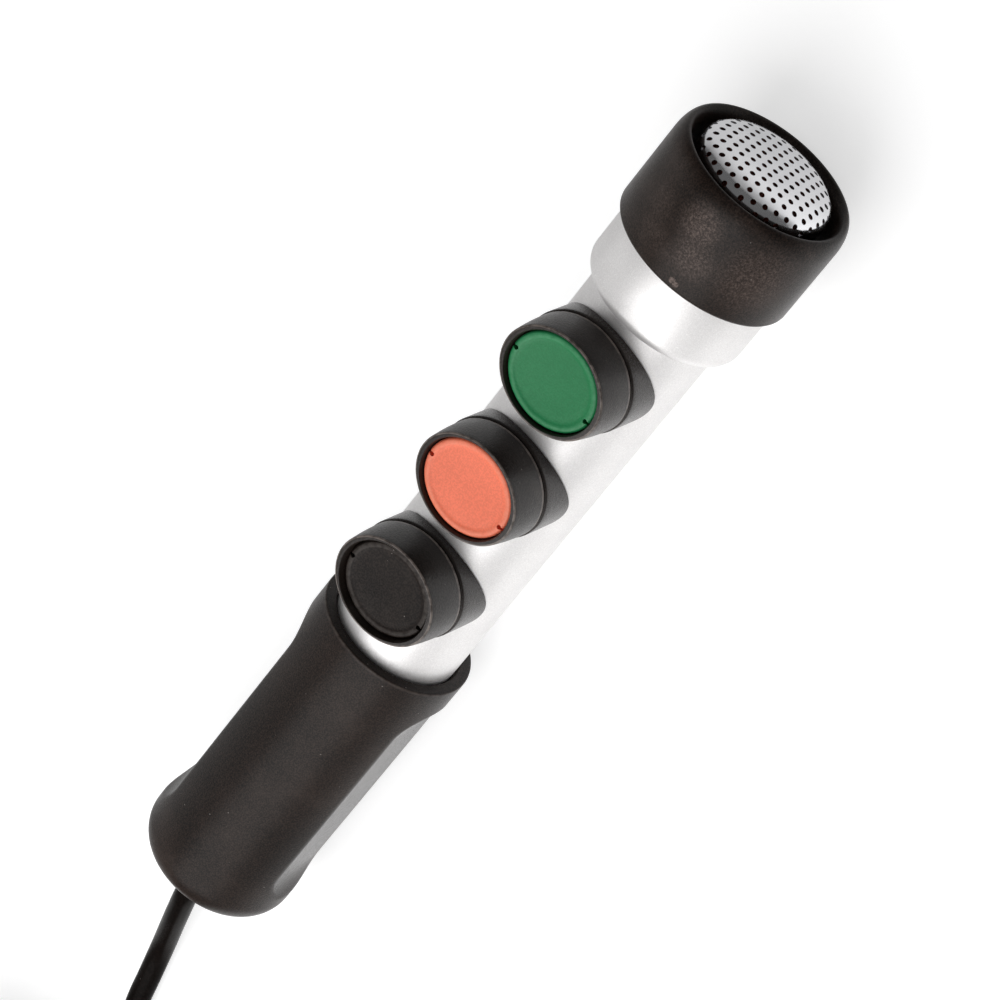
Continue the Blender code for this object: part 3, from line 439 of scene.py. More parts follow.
profile = [(0, 0), (0, BOOT_SMALL - 0.0004), (0.0003, BOOT_SMALL)]
pitch = (BOOT_LENGTH - 0.0016) / RIB_COUNT
for rib in range(RIB_COUNT):
    start = 0.0006 + rib * pitch
    radius = BOOT_SMALL + (BOOT_LARGE - BOOT_SMALL) * start / BOOT_LENGTH
    profile += [(start, radius), (start + 0.62 * pitch, radius + 0.0001)]
    profile += [(start + share * pitch, radius - RIB_DEPTH) for share in (0.66, 0.96)]
profile += [(BOOT_LENGTH - 0.0009, BOOT_LARGE), (BOOT_LENGTH, BOOT_LARGE), (BOOT_LENGTH, 0)]
plug_boot = add_piece("lead_boot", *turn(profile[::-1], 48, PLUG_PLACE), soft_rubber)
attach(plug_boot, "microphone")
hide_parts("plug_boot")

end = BODY_START + BODY_LENGTH
profile = [(end, 0)] + arc(end - BODY_ROUND, BODY_RADIUS - BODY_ROUND, BODY_ROUND, 0, 90, 5)
for groove in range(GROOVE_COUNT):
    middle = end - GROOVE_INSET - groove * GROOVE_PITCH
    profile += [(middle + 0.0006, BODY_RADIUS), (middle + 0.0004, BODY_RADIUS - GROOVE_DEPTH)]
    profile += [(middle - 0.0004, BODY_RADIUS - GROOVE_DEPTH), (middle - 0.0006, BODY_RADIUS)]
profile += arc(BODY_START + BODY_ROUND, BODY_RADIUS - BODY_ROUND, BODY_ROUND, 90, 180, 5)
profile.append((BODY_START, 0))
plug_body = add_piece("plug_barrel", *turn(profile, 64, PLUG_PLACE), hard_plastic)
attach(plug_body, "microphone")
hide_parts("plug_body")

end = SHELL_START + SHELL_LENGTH
bore = SHELL_RADIUS - SHELL_WALL
profile = [(end - 0.0002, SHELL_RADIUS), (SHELL_START, SHELL_RADIUS), (SHELL_START, bore)]
profile += [(end - 0.0002, bore), (end, bore + 0.0001), (end, SHELL_RADIUS - 0.0001)]
plug_shell = add_piece("plug_collar", *turn(profile, 72, PLUG_PLACE), steel)
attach(plug_shell, "microphone")
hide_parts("plug_shell")

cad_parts["plug_insert"].data.materials[0] = hard_plastic
pins = [f"plug_pin_{number}" for number in range(1, 6)]
for pin in pins:
    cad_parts[pin].data.materials[0] = gilt


# COIL TIE
# A flat woven strap, 8 mm wide, wrapped once round the coil's bundle and pressed shut on itself.
TIE_THICKNESS = 0.0006
TIE_WIDTH = 0.0080
TIE_PLACE = Matrix.Translation((*COIL_CENTRE, 0)) @ Matrix.Rotation(math.radians(214), 4, "Z")
TIE_GAP = 0.0003
TIE_NEAR = math.sqrt((COIL_INNER - CORD_RADIUS) ** 2 - (TIE_WIDTH / 2) ** 2) - TIE_GAP
TIE_FAR = COIL_OUTER + CORD_RADIUS + TIE_GAP
TIE_HIGH = COIL_BOTTOM + (COIL_LAYERS - 1) * COIL_PITCH + CORD_RADIUS + TIE_GAP


def strap_weave():
    made, tree, shader = new_material("woven_strap", specular=0.2)
    place = surface_place(tree)
    inputs = {"Vector": place, "Scale": 380.0, "Distortion": 1.5, "Detail": 2.0}
    warp = put(tree, "ShaderNodeTexWave", inputs, wave_type="BANDS", bands_direction="DIAGONAL")
    fuzz = noise(tree, place, 2600.0, 3.0)
    tone = mix_colours(tree, fuzz, (0.010, 0.010, 0.010, 1), (0.055, 0.053, 0.050, 1))
    tree.links.new(tone, shader.inputs["Base Color"])
    tree.links.new(ramp(tree, fuzz, 0.3, 0.7, 0.7, 0.95), shader.inputs["Roughness"])
    bump(tree, shader, calculate(tree, "ADD", warp.outputs["Fac"], fuzz), 0.00012)
    return made


corner = CORD_RADIUS
loop = []
for along, up, start_deg in (
    (TIE_FAR - corner, TIE_HIGH - corner, 0),
    (TIE_NEAR + corner, TIE_HIGH - corner, 90),
    (TIE_NEAR + corner, TIE_THICKNESS + corner, 180),
    (TIE_FAR - corner, TIE_THICKNESS + corner, 270),
):
    for step in range(9):
        out = math.radians(start_deg + 90 * step / 8)
        loop.append((along + corner * math.cos(out), up + corner * math.sin(out), out))
vertices, faces = [], []
for along, up, out in loop:
    for outside, side in ((0, -0.5), (0, 0.5), (1, 0.5), (1, -0.5)):
        away = outside * TIE_THICKNESS
        local = (along + away * math.cos(out), side * TIE_WIDTH, up + away * math.sin(out))
        vertices.append(TIE_PLACE @ Vector(local))
for step in range(len(loop)):
    after = (step + 1) % len(loop)
    for row in range(4):
        beside = (row + 1) % 4
        faces.append([step * 4 + row, step * 4 + beside, after * 4 + beside, after * 4 + row])
tie = add_piece("lead_strap", vertices, faces, strap_weave())
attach(tie, "microphone")
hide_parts("coil_tie")


# TUBE
# The microphone's body: a drawn aluminium tube, 32 mm across, with a fine satin finish that sparkles a
# little. Three holes under the saddles let the buttons through; its rear end is inside the grip.
TUBE_PLACE = (-0.029875, 0, 0.020266)
TUBE_TILT_DEG = 0.613102
LYING = Matrix.Translation(TUBE_PLACE) @ Matrix.Rotation(-math.radians(TUBE_TILT_DEG), 4, "Y")
TUBE_RADIUS = 0.016
TUBE_BORE = 0.0144
TUBE_REAR = -0.009
TUBE_FRONT = 0.1187
BUTTON_PLACES = {"black": 0.0250, "red": 0.0593, "green": 0.0936}
BUTTON_HOLE = 0.0063


def flakes():
    # The tiny bright and dull facets of a bead-blasted, anodised surface
    group, given, result = new_group("flakes", {"Flakes per metre": 5200.0}, ["Facet", "Spark"])
    place = surface_place(group)
    cells = put(group, "ShaderNodeTexVoronoi", {"Vector": place, "Scale": given["Flakes per metre"]})
    chance = put(group, "ShaderNodeSeparateColor", {0: cells.outputs["Color"]}).outputs
    group.links.new(chance[0], result["Facet"])
    group.links.new(ramp(group, chance[1], 0.93, 1.0), result["Spark"])
    return group


FLAKES = flakes()


def satin_silver():
    made, tree, shader = new_material("satin_silver", metallic=0.55)
    facets = grouped(tree, FLAKES, {})
    marks = grouped(tree, BRUSHED, {"Lines per metre": 700.0, "Stretch": 0.5})
    dirt = grouped(tree, DUST, {"Amount": 0.015, "Smudge amount": 0.2})
    tone = mix_colours(tree, facets["Facet"], (0.76, 0.745, 0.74, 1), (0.85, 0.835, 0.83, 1))
    tone = mix_colours(tree, facets["Spark"], tone, (0.92, 0.91, 0.90, 1))
    shine = ramp(tree, marks["Tone"], 0, 1, 0.44, 0.50)
    soil(tree, shader, tone, shine, dirt, 0.3, (0.35, 0.33, 0.31), 0.1)
    bump(tree, shader, facets["Facet"], 0.000005)
    return made


silver = satin_silver()
profile = [(TUBE_FRONT, TUBE_RADIUS), (TUBE_REAR, TUBE_RADIUS)]
profile += [(TUBE_REAR, TUBE_BORE), (TUBE_FRONT, TUBE_BORE)]
tube = add_piece("tube", *turn(profile, 192, LYING), silver)


def drill(piece, vertices, faces):
    # Cuts a closed shape out of a piece, then throws the cutter away
    cutter = add_piece("cutter", vertices, faces, piece.data.materials[0])
    hole = piece.modifiers.new("hole", "BOOLEAN")
    hole.operation = "DIFFERENCE"
    hole.solver = "EXACT"
    hole.object = cutter
    graph = bpy.context.evaluated_depsgraph_get()
    data = bpy.data.meshes.new_from_object(piece.evaluated_get(graph))
    piece.modifiers.clear()
    bpy.data.objects.remove(cutter)
    piece.data = data
    data.shade_smooth()
    data.set_sharp_from_angle(angle=math.radians(40))


UPRIGHT = Matrix.Rotation(-math.pi / 2, 4, "Y")
hole = [(0.022, 0), (0.022, BUTTON_HOLE), (0, BUTTON_HOLE), (0, 0)]
for place in BUTTON_PLACES.values():
    drill(tube, *turn(hole, 64, LYING @ Matrix.Translation((place, 0, 0)) @ UPRIGHT))
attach(tube, "microphone")
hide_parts("body_tube")


# COLLAR
# A turned aluminium sleeve that widens the tube before the head, in the same satin finish. Its shoulder is
# rounded, and a spigot inside the ring carries the ring outside and the grille inside.
COLLAR_REAR = 0.1092
COLLAR_FRONT = 0.1252
COLLAR_RADIUS = 0.0196
COLLAR_BORE = 0.0163
COLLAR_EDGE = 0.0003
SHOULDER_ROUND = 0.003
STOP_REAR = 0.1190
STOP_FRONT = 0.1300
STOP_BORE = 0.0153
SPIGOT_FRONT = 0.1400
SPIGOT_RADIUS = 0.0179
SPIGOT_BORE = 0.0167
profile = [(SPIGOT_FRONT, SPIGOT_RADIUS), (COLLAR_FRONT, SPIGOT_RADIUS)]
profile.append((COLLAR_FRONT, COLLAR_RADIUS - COLLAR_EDGE))
profile += arc(COLLAR_FRONT - COLLAR_EDGE, COLLAR_RADIUS - COLLAR_EDGE, COLLAR_EDGE, 0, 90, 3)
profile += arc(COLLAR_REAR + SHOULDER_ROUND, COLLAR_RADIUS - SHOULDER_ROUND, SHOULDER_ROUND, 90, 180, 12)
profile.append((COLLAR_REAR, COLLAR_BORE + COLLAR_EDGE))
profile += arc(COLLAR_REAR + COLLAR_EDGE, COLLAR_BORE + COLLAR_EDGE, COLLAR_EDGE, 180, 270, 2)
profile += [(STOP_REAR, COLLAR_BORE), (STOP_REAR, STOP_BORE), (STOP_FRONT, STOP_BORE)]
profile += [(STOP_FRONT, SPIGOT_BORE), (SPIGOT_FRONT, SPIGOT_BORE)]
collar = add_piece("collar", *turn(profile, 192, LYING), silver)
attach(collar, "microphone")
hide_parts("head_collar")


# HEAD RING
# A thick soft-rubber bumper pushed over the collar's spigot. Its front lip is rounded, its rear edge is
# square, and it is dusty and scuffed, most of all near the rear edge. Pale patches on its top are partly
# dust and partly a painted highlight, and a broad pale patch low on its -Y side is a painted sheen.
RING_REAR = 0.1255
RING_FRONT = 0.1503
RING_RADIUS = 0.0217
RING_BORE = 0.0182
RING_NOSE = 0.0050
NOSE_STEPS = 24
RING_EDGE = 0.0009
SCUFF_DUST_AND_SHEEN_PATCHES = [
    # Two broad pale patches on top, where the overhead lamp's sheen falls: partly dust and partly a painted
    # highlight
    ((0.1415, -0.0020, 0.0216), 0.0075, 0.9),
    ((0.1345, -0.0049, 0.0211), 0.0075, 0.7),
    # Two small scuffs by the rear edge
    ((0.1276, -0.0043, 0.02127), 0.0010, 3.0),
    ((0.1273, -0.0053, 0.02104), 0.0009, 3.0),
    # A broad pale patch low on the -Y side, towards the near side lamp: a painted sheen
    ((0.1380, -0.0163, 0.0143), 0.0130, 0.6),
]


def mark_wear(piece, rule, name="wear"):
    # Writes how worn each point of a piece is, from 0 to 1, by a rule of its place along and across the tube
    back = LYING.inverted()
    worn = piece.data.attributes.new(name, "FLOAT", "POINT")
    for point, vertex in zip(worn.data, piece.data.vertices):
        point.value = rule(back @ vertex.co)


def between(value, low, high):
    return 1.0 if low <= value <= high else 0.0


def dusty_rubber(name, colour, depth, clouds, rubbed=()):
    # Matt rubber with a cloudy bloom and pale patches, each given as a place, a size and a strength; some
    # patches are rubbed scuffs and dust, and some are painted highlight and sheen
    pale = (0.06, 0.048, 0.042)
    made = moulded(
        name, colour, pale, (0.32, 0.40), 3000, depth, smudge=0.25, patches=45, specular=0.13, vary=0.85
    )
    tree = made.node_tree
    shader = tree.nodes["Principled BSDF"]
    tone = shader.inputs["Base Color"].links[0].from_socket
    place = surface_place(tree)
    gritty = ramp(tree, noise(tree, place, 1900.0, 4.0, 0.75), 0.42, 0.68, 0.15, 1.0)
    cloudy = ramp(tree, noise(tree, place, 75.0, 5.0, 0.6), 0.4, 0.7)
    mask = calculate(tree, "MULTIPLY", cloudy, clouds)
    # Pale patches: rubbed scuffs and dust, and painted highlight and sheen
    for middle, size, strength in rubbed:
        inputs = {0: place, 1: LYING @ Vector(middle)}
        away = put(tree, "ShaderNodeVectorMath", inputs, operation="DISTANCE").outputs["Value"]
        mask = calculate(tree, "MAXIMUM", mask, ramp(tree, away, 0.2 * size, size, strength, 0.0))
    mask = calculate(tree, "MULTIPLY", mask, gritty, clamp=True)
    tree.links.new(mix_colours(tree, mask, tone, (0.160, 0.118, 0.102, 1)), shader.inputs["Base Color"])
    return made


middle = (RING_RADIUS + RING_BORE) / 2
half_wall = (RING_RADIUS - RING_BORE) / 2
nose = RING_FRONT - RING_NOSE
profile = []
for step in range(NOSE_STEPS + 1):
    angle = math.pi * (1 - step / NOSE_STEPS)
    profile.append((nose + RING_NOSE * math.sin(angle), middle + half_wall * math.cos(angle)))
profile += [(RING_REAR + 0.012, RING_RADIUS), (RING_REAR + RING_EDGE, RING_RADIUS)]
profile += arc(RING_REAR + RING_EDGE, RING_RADIUS - RING_EDGE, RING_EDGE, 90, 180, 4)
profile.append((RING_REAR, RING_BORE))


def ring_wear(spot):
    outside = math.hypot(spot.y, spot.z) > RING_RADIUS - RING_EDGE + 0.0001
    return 0.5 if outside and spot.x < RING_REAR + 0.0004 else 0.0


ring_rubber = dusty_rubber("ring_rubber", (0.0165, 0.0105, 0.0080), 0.00003, 0.3, SCUFF_DUST_AND_SHEEN_PATCHES)
ring = add_piece("head_bumper", *turn(profile, 192, LYING), ring_rubber)
mark_wear(ring, ring_wear)
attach(ring, "microphone")
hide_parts("head_ring")


# GRILLE
# A deep-drawn cup of bright steel, 33 mm across, with a shallow dome and a rounded edge. Its face and edge
# are punched with 1.3 mm holes in a close triangular pattern, and a black foam disc shows behind them.
GRILLE_RADIUS = 0.0164
GRILLE_FRONT = 0.1528
GRILLE_DOME = 0.0018
GRILLE_ROUND = 0.0030
GRILLE_WALL = 0.0005
HOLE_PITCH = 0.00277
HOLE_RADIUS = 0.00066
HOLE_SIDES = 14
PATTERN_TURN_DEG = 156.5
PATTERN_SHIFT = (0.00954, 0.01072)
PATTERN_REACH = 0.0178
BLANK_REACH = GRILLE_RADIUS + 0.0075
BLANK_SPACING = 0.0005


def press(radius, depth):
    # Where a point of the flat blank, so far from its middle, is on the pressed cup: (along, radius)
    flat = GRILLE_RADIUS - GRILLE_ROUND
    lean = math.atan(4 * GRILLE_DOME / flat)
    edge = flat + GRILLE_ROUND * math.sin(lean)
    bend = GRILLE_FRONT - GRILLE_DOME - GRILLE_ROUND * math.cos(lean)
    if radius < edge:
        share = radius / edge
        angle = math.atan(4 * GRILLE_DOME * share**3 / flat)
        place = (GRILLE_FRONT - GRILLE_DOME * share**4, radius)
    else:
        angle = min(math.pi / 2, lean + (radius - edge) / GRILLE_ROUND)
        straight = max(0, radius - edge - GRILLE_ROUND * (math.pi / 2 - lean))
        place = (bend + GRILLE_ROUND * math.cos(angle) - straight, flat + GRILLE_ROUND * math.sin(angle))
    return place[0] - depth * math.cos(angle), place[1] - depth * math.sin(angle)


def punched_blank():
    # A flat round blank as triangles: its outline, its holes, and points between them to let it bend
    turns = (math.radians(PATTERN_TURN_DEG), math.radians(PATTERN_TURN_DEG) + 2 * math.pi / 3)
    first, second = (Vector((math.cos(angle), math.sin(angle))) * HOLE_PITCH for angle in turns)
    holes = []
    for row in range(-18, 19):
        for column in range(-18, 19):
            middle = Vector(PATTERN_SHIFT) + first * row + second * column
            if middle.length < PATTERN_REACH:
                holes.append(middle)
    points, edges = [], []
    for middle in holes:
        start = len(points)
        for step in range(HOLE_SIDES):
            angle = 2 * math.pi * step / HOLE_SIDES
            points.append(middle + HOLE_RADIUS * Vector((math.cos(angle), math.sin(angle))))
            edges.append((start + step, start + (step + 1) % HOLE_SIDES))
    for ring_number in range(48):
        radius = BLANK_REACH - ring_number * BLANK_SPACING
        count = max(6, round(2 * math.pi * radius / BLANK_SPACING))
        for step in range(count):
            angle = 2 * math.pi * (step + 0.5 * (ring_number % 2)) / count
            point = radius * Vector((math.cos(angle), math.sin(angle)))
            if all((point - middle).length > HOLE_RADIUS + 0.0002 for middle in holes):
                points.append(point)
    flat = geometry.delaunay_2d_cdt(points, edges, [], 0, 0.0000001)
    corners, triangles = flat[0], flat[2]
    kept = []
    for triangle in triangles:
        centre = sum((corners[corner] for corner in triangle), Vector((0, 0))) / 3
        if all((centre - middle).length > HOLE_RADIUS * 0.97 for middle in holes):
            kept.append(list(triangle))
    return corners, kept


corners, triangles = punched_blank()
vertices, faces, count = [], [], len(corners)
for depth in (0, GRILLE_WALL):
    for corner in corners:
        along, radius = press(corner.length, depth)
        share = radius / corner.length if corner.length else 0
        vertices.append(LYING @ Vector((along, corner.x * share, corner.y * share)))
sides = {}
for triangle in triangles:
    faces.append(triangle)
    faces.append([corner + count for corner in reversed(triangle)])
    for start, end in zip(triangle, triangle[1:] + triangle[:1]):
        sides[start, end] = (end, start) not in sides
        if not sides[start, end]:
            sides[end, start] = False
for (start, end), open_side in sides.items():
    if open_side:
        faces.append([end, start, start + count, end + count])


def polished_steel():
    made, tree, shader = new_material("polished_steel", metallic=1.0)
    marks = grouped(tree, BRUSHED, {"Lines per metre": 1500.0, "Stretch": 0.6})
    dirt = grouped(tree, DUST, {"Amount": 0.02, "Specks per metre": 1200.0, "Smudge amount": 0.3})
    tone = mix_colours(tree, marks["Tone"], (0.62, 0.62, 0.635, 1), (0.68, 0.68, 0.695, 1))
    shine = ramp(tree, marks["Tone"], 0, 1, 0.16, 0.21)
    soil(tree, shader, tone, shine, dirt, 0.4, (0.3, 0.29, 0.28), 0.1)
    bump(tree, shader, marks["Lines"], 0.000002)
    return made


grille = add_piece("punched_grille", vertices, faces, polished_steel(), 60)
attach(grille, "microphone")
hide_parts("grille")


# GRIP
# A soft-touch rubber sleeve over the rear of the tube. It has a rounded front rim and tail, and a long finger
# flat moulded into each side, one of them polished by use; it sits turned a little from the buttons.
GRIP_RADIUS = 0.0194
GRIP_REAR = -0.089
GRIP_EDGE = 0.0004
GRIP_TAIL = 0.008
GRIP_BORE = 0.0144
GRIP_END = -0.0846
MOUTH_BORE = 0.0163
MOUTH_DEPTH = 0.0116
LEAD_HOLE = 0.0063
FLAT_DISTANCE = 0.0170
FLAT_FRONT = -0.0175
FLAT_REAR = -0.0690
FLAT_RUN_OUT = 0.0095
FLAT_RISE = 0.0027
FLAT_BOW = (FLAT_RUN_OUT**2 + FLAT_RISE**2) / (2 * FLAT_RISE)
FLAT_ANGLES_DEG = (15.0, 184.4)
FLAT_BLEND = 0.0004
GRIP_SIDES = 300


def flat_depth(along):
    # How far the finger flats' surface is from the axis at a place along the grip
    beyond = max(along - FLAT_FRONT, FLAT_REAR - along, 0)
    if beyond >= FLAT_RUN_OUT:
        return math.inf
    return FLAT_DISTANCE + FLAT_BOW - math.sqrt(FLAT_BOW**2 - beyond**2)


def soft_least(first, second):
    # The lesser of two lengths, with the crease between them rounded
    if second - first > 4 * FLAT_BLEND:
        return first
    share = max(0, min(1, 0.5 + (second - first) / (2 * FLAT_BLEND)))
    return second + (first - second) * share - FLAT_BLEND * share * (1 - share)


outer = arc(-GRIP_EDGE, GRIP_RADIUS - GRIP_EDGE, GRIP_EDGE, 0, 90, 4)
outer += [(-0.0006 - 0.0004 * step, GRIP_RADIUS) for step in range(1, 201)]
outer += arc(GRIP_REAR + GRIP_TAIL, GRIP_RADIUS - GRIP_TAIL, GRIP_TAIL, 90, 180, 24)
inner = [(GRIP_REAR, LEAD_HOLE + 0.0005), (GRIP_REAR + 0.0005, LEAD_HOLE), (GRIP_END, LEAD_HOLE)]
inner += [(GRIP_END, GRIP_BORE), (-MOUTH_DEPTH, GRIP_BORE), (-MOUTH_DEPTH, MOUTH_BORE)]
inner += [(-GRIP_EDGE, MOUTH_BORE), (0, MOUTH_BORE + GRIP_EDGE)]
profile = outer + inner
faces = turn(profile, GRIP_SIDES)[1]
vertices = []
for step in range(GRIP_SIDES):
    angle = 2 * math.pi * step / GRIP_SIDES
    for row, (along, radius) in enumerate(profile):
        depth = flat_depth(along) if row < len(outer) else math.inf
        for flat_deg in FLAT_ANGLES_DEG:
            facing = math.cos(angle - math.radians(flat_deg))
            if facing > 0.5 and depth < math.inf:
                radius = soft_least(radius, depth / facing)
        vertices.append(LYING @ Vector((along, radius * math.cos(angle), radius * math.sin(angle))))


def rim_wear(spot):
    return 1.0 if spot.x > -0.0005 and math.hypot(spot.y, spot.z) > GRIP_RADIUS - 0.0002 else 0.0


def flat_polish(spot):
    # 1 on the flat that the fingers rub most, which lies towards -Y
    on_flat = 0.0168 < math.hypot(spot.y, spot.z) < GRIP_RADIUS - 0.0003
    return 1.0 if on_flat and spot.y < 0 and -0.0785 < spot.x < -0.008 else 0.0


grip_rubber = dusty_rubber("grip_rubber", (0.0165, 0.0105, 0.0082), 0.00004, 0.06)
tree = grip_rubber.node_tree
shader = tree.nodes["Principled BSDF"]
polish = put(tree, "ShaderNodeAttribute", attribute_name="polish").outputs["Fac"]
shine = shader.inputs["Roughness"].links[0].from_socket
shine = calculate(tree, "MULTIPLY", shine, ramp(tree, polish, 0, 1, 1.0, 0.62))
tree.links.new(shine, shader.inputs["Roughness"])
grip = add_piece("grip", vertices, faces, grip_rubber)
mark_wear(grip, rim_wear)
mark_wear(grip, flat_polish, "polish")
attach(grip, "microphone")
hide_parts("grip_sleeve")


# STRAIN RELIEF
# A rubber bush trapped in the grip's end; only its short tapered tail, with two rings, shows round the lead.
BUSH_FLANGE = [(-0.0750, 0.0048), (-0.0831, 0.0048), (-0.0831, 0.0117), (-0.0847, 0.0117), (-0.0847, 0.0060)]
BUSH_RINGS = [(-0.0894, 0.0060), (-0.0897, 0.0056), (-0.0903, 0.0055), (-0.0906, 0.0058)]
BUSH_TAIL = [(-0.0912, 0.0056), (-0.0915, 0.0052), (-0.0921, 0.0051), (-0.0924, 0.0052), (-0.0930, 0.0044)]
BUSH_BORE = [(-0.0930, 0.0033), (-0.0750, 0.0033)]
profile = BUSH_FLANGE + BUSH_RINGS + BUSH_TAIL + BUSH_BORE
bush = add_piece("lead_bush", *turn(profile, 64, LYING), soft_rubber)
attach(bush, "microphone")
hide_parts("strain_relief")


# SADDLES
# A moulded black saddle under each button, its underside curved to the tube. Its outside is an upright
# oval, so that its two ends run down the tube's sides to a rounded point.
SADDLE_ALONG = 0.01245
SADDLE_ACROSS = 0.0147
SADDLE_TOP = 0.0186
SADDLE_EDGE = 0.0006
OVAL_SIDES = 144
saddle_plastic = moulded(
    "saddle_plastic", (0.0240, 0.0180, 0.0155), (0.14, 0.118, 0.106), (0.22, 0.30), 2400, 0.00005
)


def loft(sections, place, closed=True):
    # Joins ovals of (half length along, half width across, height or a function of x and y for it)
    vertices, faces, count = [], [], len(sections)
    for along, across, height in sections:
        for step in range(OVAL_SIDES):
            angle = 2 * math.pi * step / OVAL_SIDES
            x, y = along * math.cos(angle), across * math.sin(angle)
            z = height(x, y) if callable(height) else height
            vertices.append(LYING @ Vector((place + x, y, z)))
    for row in range(count if closed else count - 1):
        upper, lower = row * OVAL_SIDES, (row + 1) % count * OVAL_SIDES
        for step in range(OVAL_SIDES):
            after = (step + 1) % OVAL_SIDES
            faces.append([upper + step, lower + step, lower + after, upper + after])
    if not closed:
        for row, height in ((0, sections[0][2]), (count - 1, sections[-1][2])):
            vertices.append(LYING @ Vector((place, 0, height)))
            for step in range(OVAL_SIDES):
                after = (step + 1) % OVAL_SIDES
                faces.append([row * OVAL_SIDES + step, row * OVAL_SIDES + after, len(vertices) - 1])
    return vertices, faces


def rounded(along, across, height, size, start_deg, end_deg, count=4):
    # Sections round an edge: 0 degrees points outwards and 90 degrees upwards
    sections = []
    for step in range(count + 1):
        angle = math.radians(start_deg + (end_deg - start_deg) * step / count)
        out = size * (math.cos(angle) - 1)
        sections.append((along + out, across + out, height + size * (math.sin(angle) - 1)))
    return sections


def on_tube(x, y):
    return math.sqrt((TUBE_RADIUS + 0.0002) ** 2 - y**2)


def down_the_wall(share):
    # The height of an oval that lies so far down from the saddle's edge to the tube
    return lambda x, y: on_tube(x, y) * share + (SADDLE_TOP - SADDLE_EDGE) * (1 - share)


for colour, place in BUTTON_PLACES.items():
    sections = rounded(SADDLE_ALONG, SADDLE_ACROSS, SADDLE_TOP, SADDLE_EDGE, 90, 0)
    for share in (0.2, 0.4, 0.6, 0.8, 0.97):
        sections.append((SADDLE_ALONG, SADDLE_ACROSS, down_the_wall(share)))
    for share in (0.01, 0.25, 0.5, 0.75, 1):
        along = SADDLE_ALONG + (BUTTON_HOLE - SADDLE_ALONG) * share - 0.0002 * (1 - share)
        across = SADDLE_ACROSS + (BUTTON_HOLE - SADDLE_ACROSS) * share - 0.0002 * (1 - share)
        sections.append((along, across, on_tube))
    sections.append((BUTTON_HOLE, BUTTON_HOLE, SADDLE_TOP))
    saddle = add_piece(f"button_saddle_{colour}", *loft(sections, place), saddle_plastic)
    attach(saddle, "microphone")
    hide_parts(f"saddle_{colour}")


# BEZELS
# The black oval barrel round each button: slightly swelling walls, a narrow rim whose edges are rubbed
# paler, and inside it the well that the cap slides in. Its threaded neck goes down through the tube.
RIM_ALONG = 0.0113
RIM_ACROSS = 0.01385
RIM_HEIGHT = 0.0297
BARREL_ALONG = 0.0121
BARREL_ACROSS = 0.0144
BARREL_LOW = 0.0189
WELL_ALONG = 0.0105
WELL_ACROSS = 0.0123
WELL_FLOOR = 0.0199
NECK_RADIUS = 0.0060
NECK_END = 0.00899
NECK_BORE = 0.0023
RIM_EDGE = 0.0005
WALL_TOP = RIM_HEIGHT - 0.0006
WALL_FOOT = BARREL_LOW + 0.0012
WALL_SWELL = 0.00012
bezel_plastic = moulded(
    "bezel_plastic", (0.0180, 0.0125, 0.0100), (0.20, 0.168, 0.150), (0.30, 0.40), 2400, 0.00006
)


def bezel_wear(place):
    # A rule that marks the outer edge of the rim and the foot of the bezel at that place
    def rule(spot):
        if not 0.965 <= math.hypot((spot.x - place) / RIM_ALONG, spot.y / RIM_ACROSS) <= 1.1:
            return 0.0
        rim = between(spot.z, RIM_HEIGHT - 0.0004, RIM_HEIGHT)
        return rim + between(spot.z, BARREL_LOW + 0.0001, BARREL_LOW + 0.0009)

    return rule


for colour, place in BUTTON_PLACES.items():
    sections = rounded(RIM_ALONG, RIM_ACROSS, RIM_HEIGHT, RIM_EDGE, 90, 10, 5)
    for step in range(1, 8):
        share = step / 8
        swell = WALL_SWELL * math.sin(math.pi * share)
        along = RIM_ALONG + (BARREL_ALONG - RIM_ALONG) * share + swell
        across = RIM_ACROSS + (BARREL_ACROSS - RIM_ACROSS) * share + swell
        sections.append((along, across, WALL_TOP + (WALL_FOOT - WALL_TOP) * share))
    for height in (0.0010, 0.0008):
        sections.append((BARREL_ALONG, BARREL_ACROSS, BARREL_LOW + height))
    sections += rounded(BARREL_ALONG, BARREL_ACROSS, BARREL_LOW + 0.0006, 0.0003, 0, -90, 4)
    sections += [(NECK_RADIUS, NECK_RADIUS, BARREL_LOW), (NECK_RADIUS, NECK_RADIUS, NECK_END)]
    sections += [(NECK_BORE, NECK_BORE, NECK_END), (NECK_BORE, NECK_BORE, WELL_FLOOR)]
    sections += [(WELL_ALONG, WELL_ACROSS, WELL_FLOOR), (WELL_ALONG, WELL_ACROSS, RIM_HEIGHT - 0.0003)]
    sections += [(WELL_ALONG + 0.0002, WELL_ACROSS + 0.0002, RIM_HEIGHT)]
    bezel = add_piece(f"button_bezel_{colour}", *loft(sections, place), bezel_plastic)
    mark_wear(bezel, bezel_wear(place))
    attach(bezel, "microphone")
    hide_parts(f"bezel_{colour}")


# CAPS
# Three moulded oval push caps, black, red and green. Each has a raised border with a rounded edge, a dished
# middle for the thumb and a small notch at each end, and slides in its bezel; the middle is left plain.
CAP_ALONG = 0.0102
CAP_ACROSS = 0.0120
CAP_BELOW_RIM = {"black": 0.0015, "red": 0.0008, "green": 0.0008}
CAP_LOW = 0.0222
CAP_RECESS = 0.0042
CAP_WALL = 0.0016
CAP_EDGE = 0.0008
DISH_INSET = 0.0030
DISH_DEPTH = 0.00050
DISH_RISE = 0.00018
CAP_BORDER = ((0.0025, 0.00032), (0.0021, 0.00028), (0.0017, 0.00018), (0.0014, 0.00006), (0.0011, 0.0))
CAP_NOTCH = ((0.0010, 0.00055), (0.0005, 0.00036), (0.0001, 0.00036))
CAP_COLOURS = {
    "black": ((0.0135, 0.0093, 0.0076), (0.085, 0.073, 0.066)),
    "red": ((0.90, 0.200, 0.108), (0.92, 0.30, 0.19)),
    "green": ((0.012, 0.185, 0.062), (0.06, 0.29, 0.13)),
}
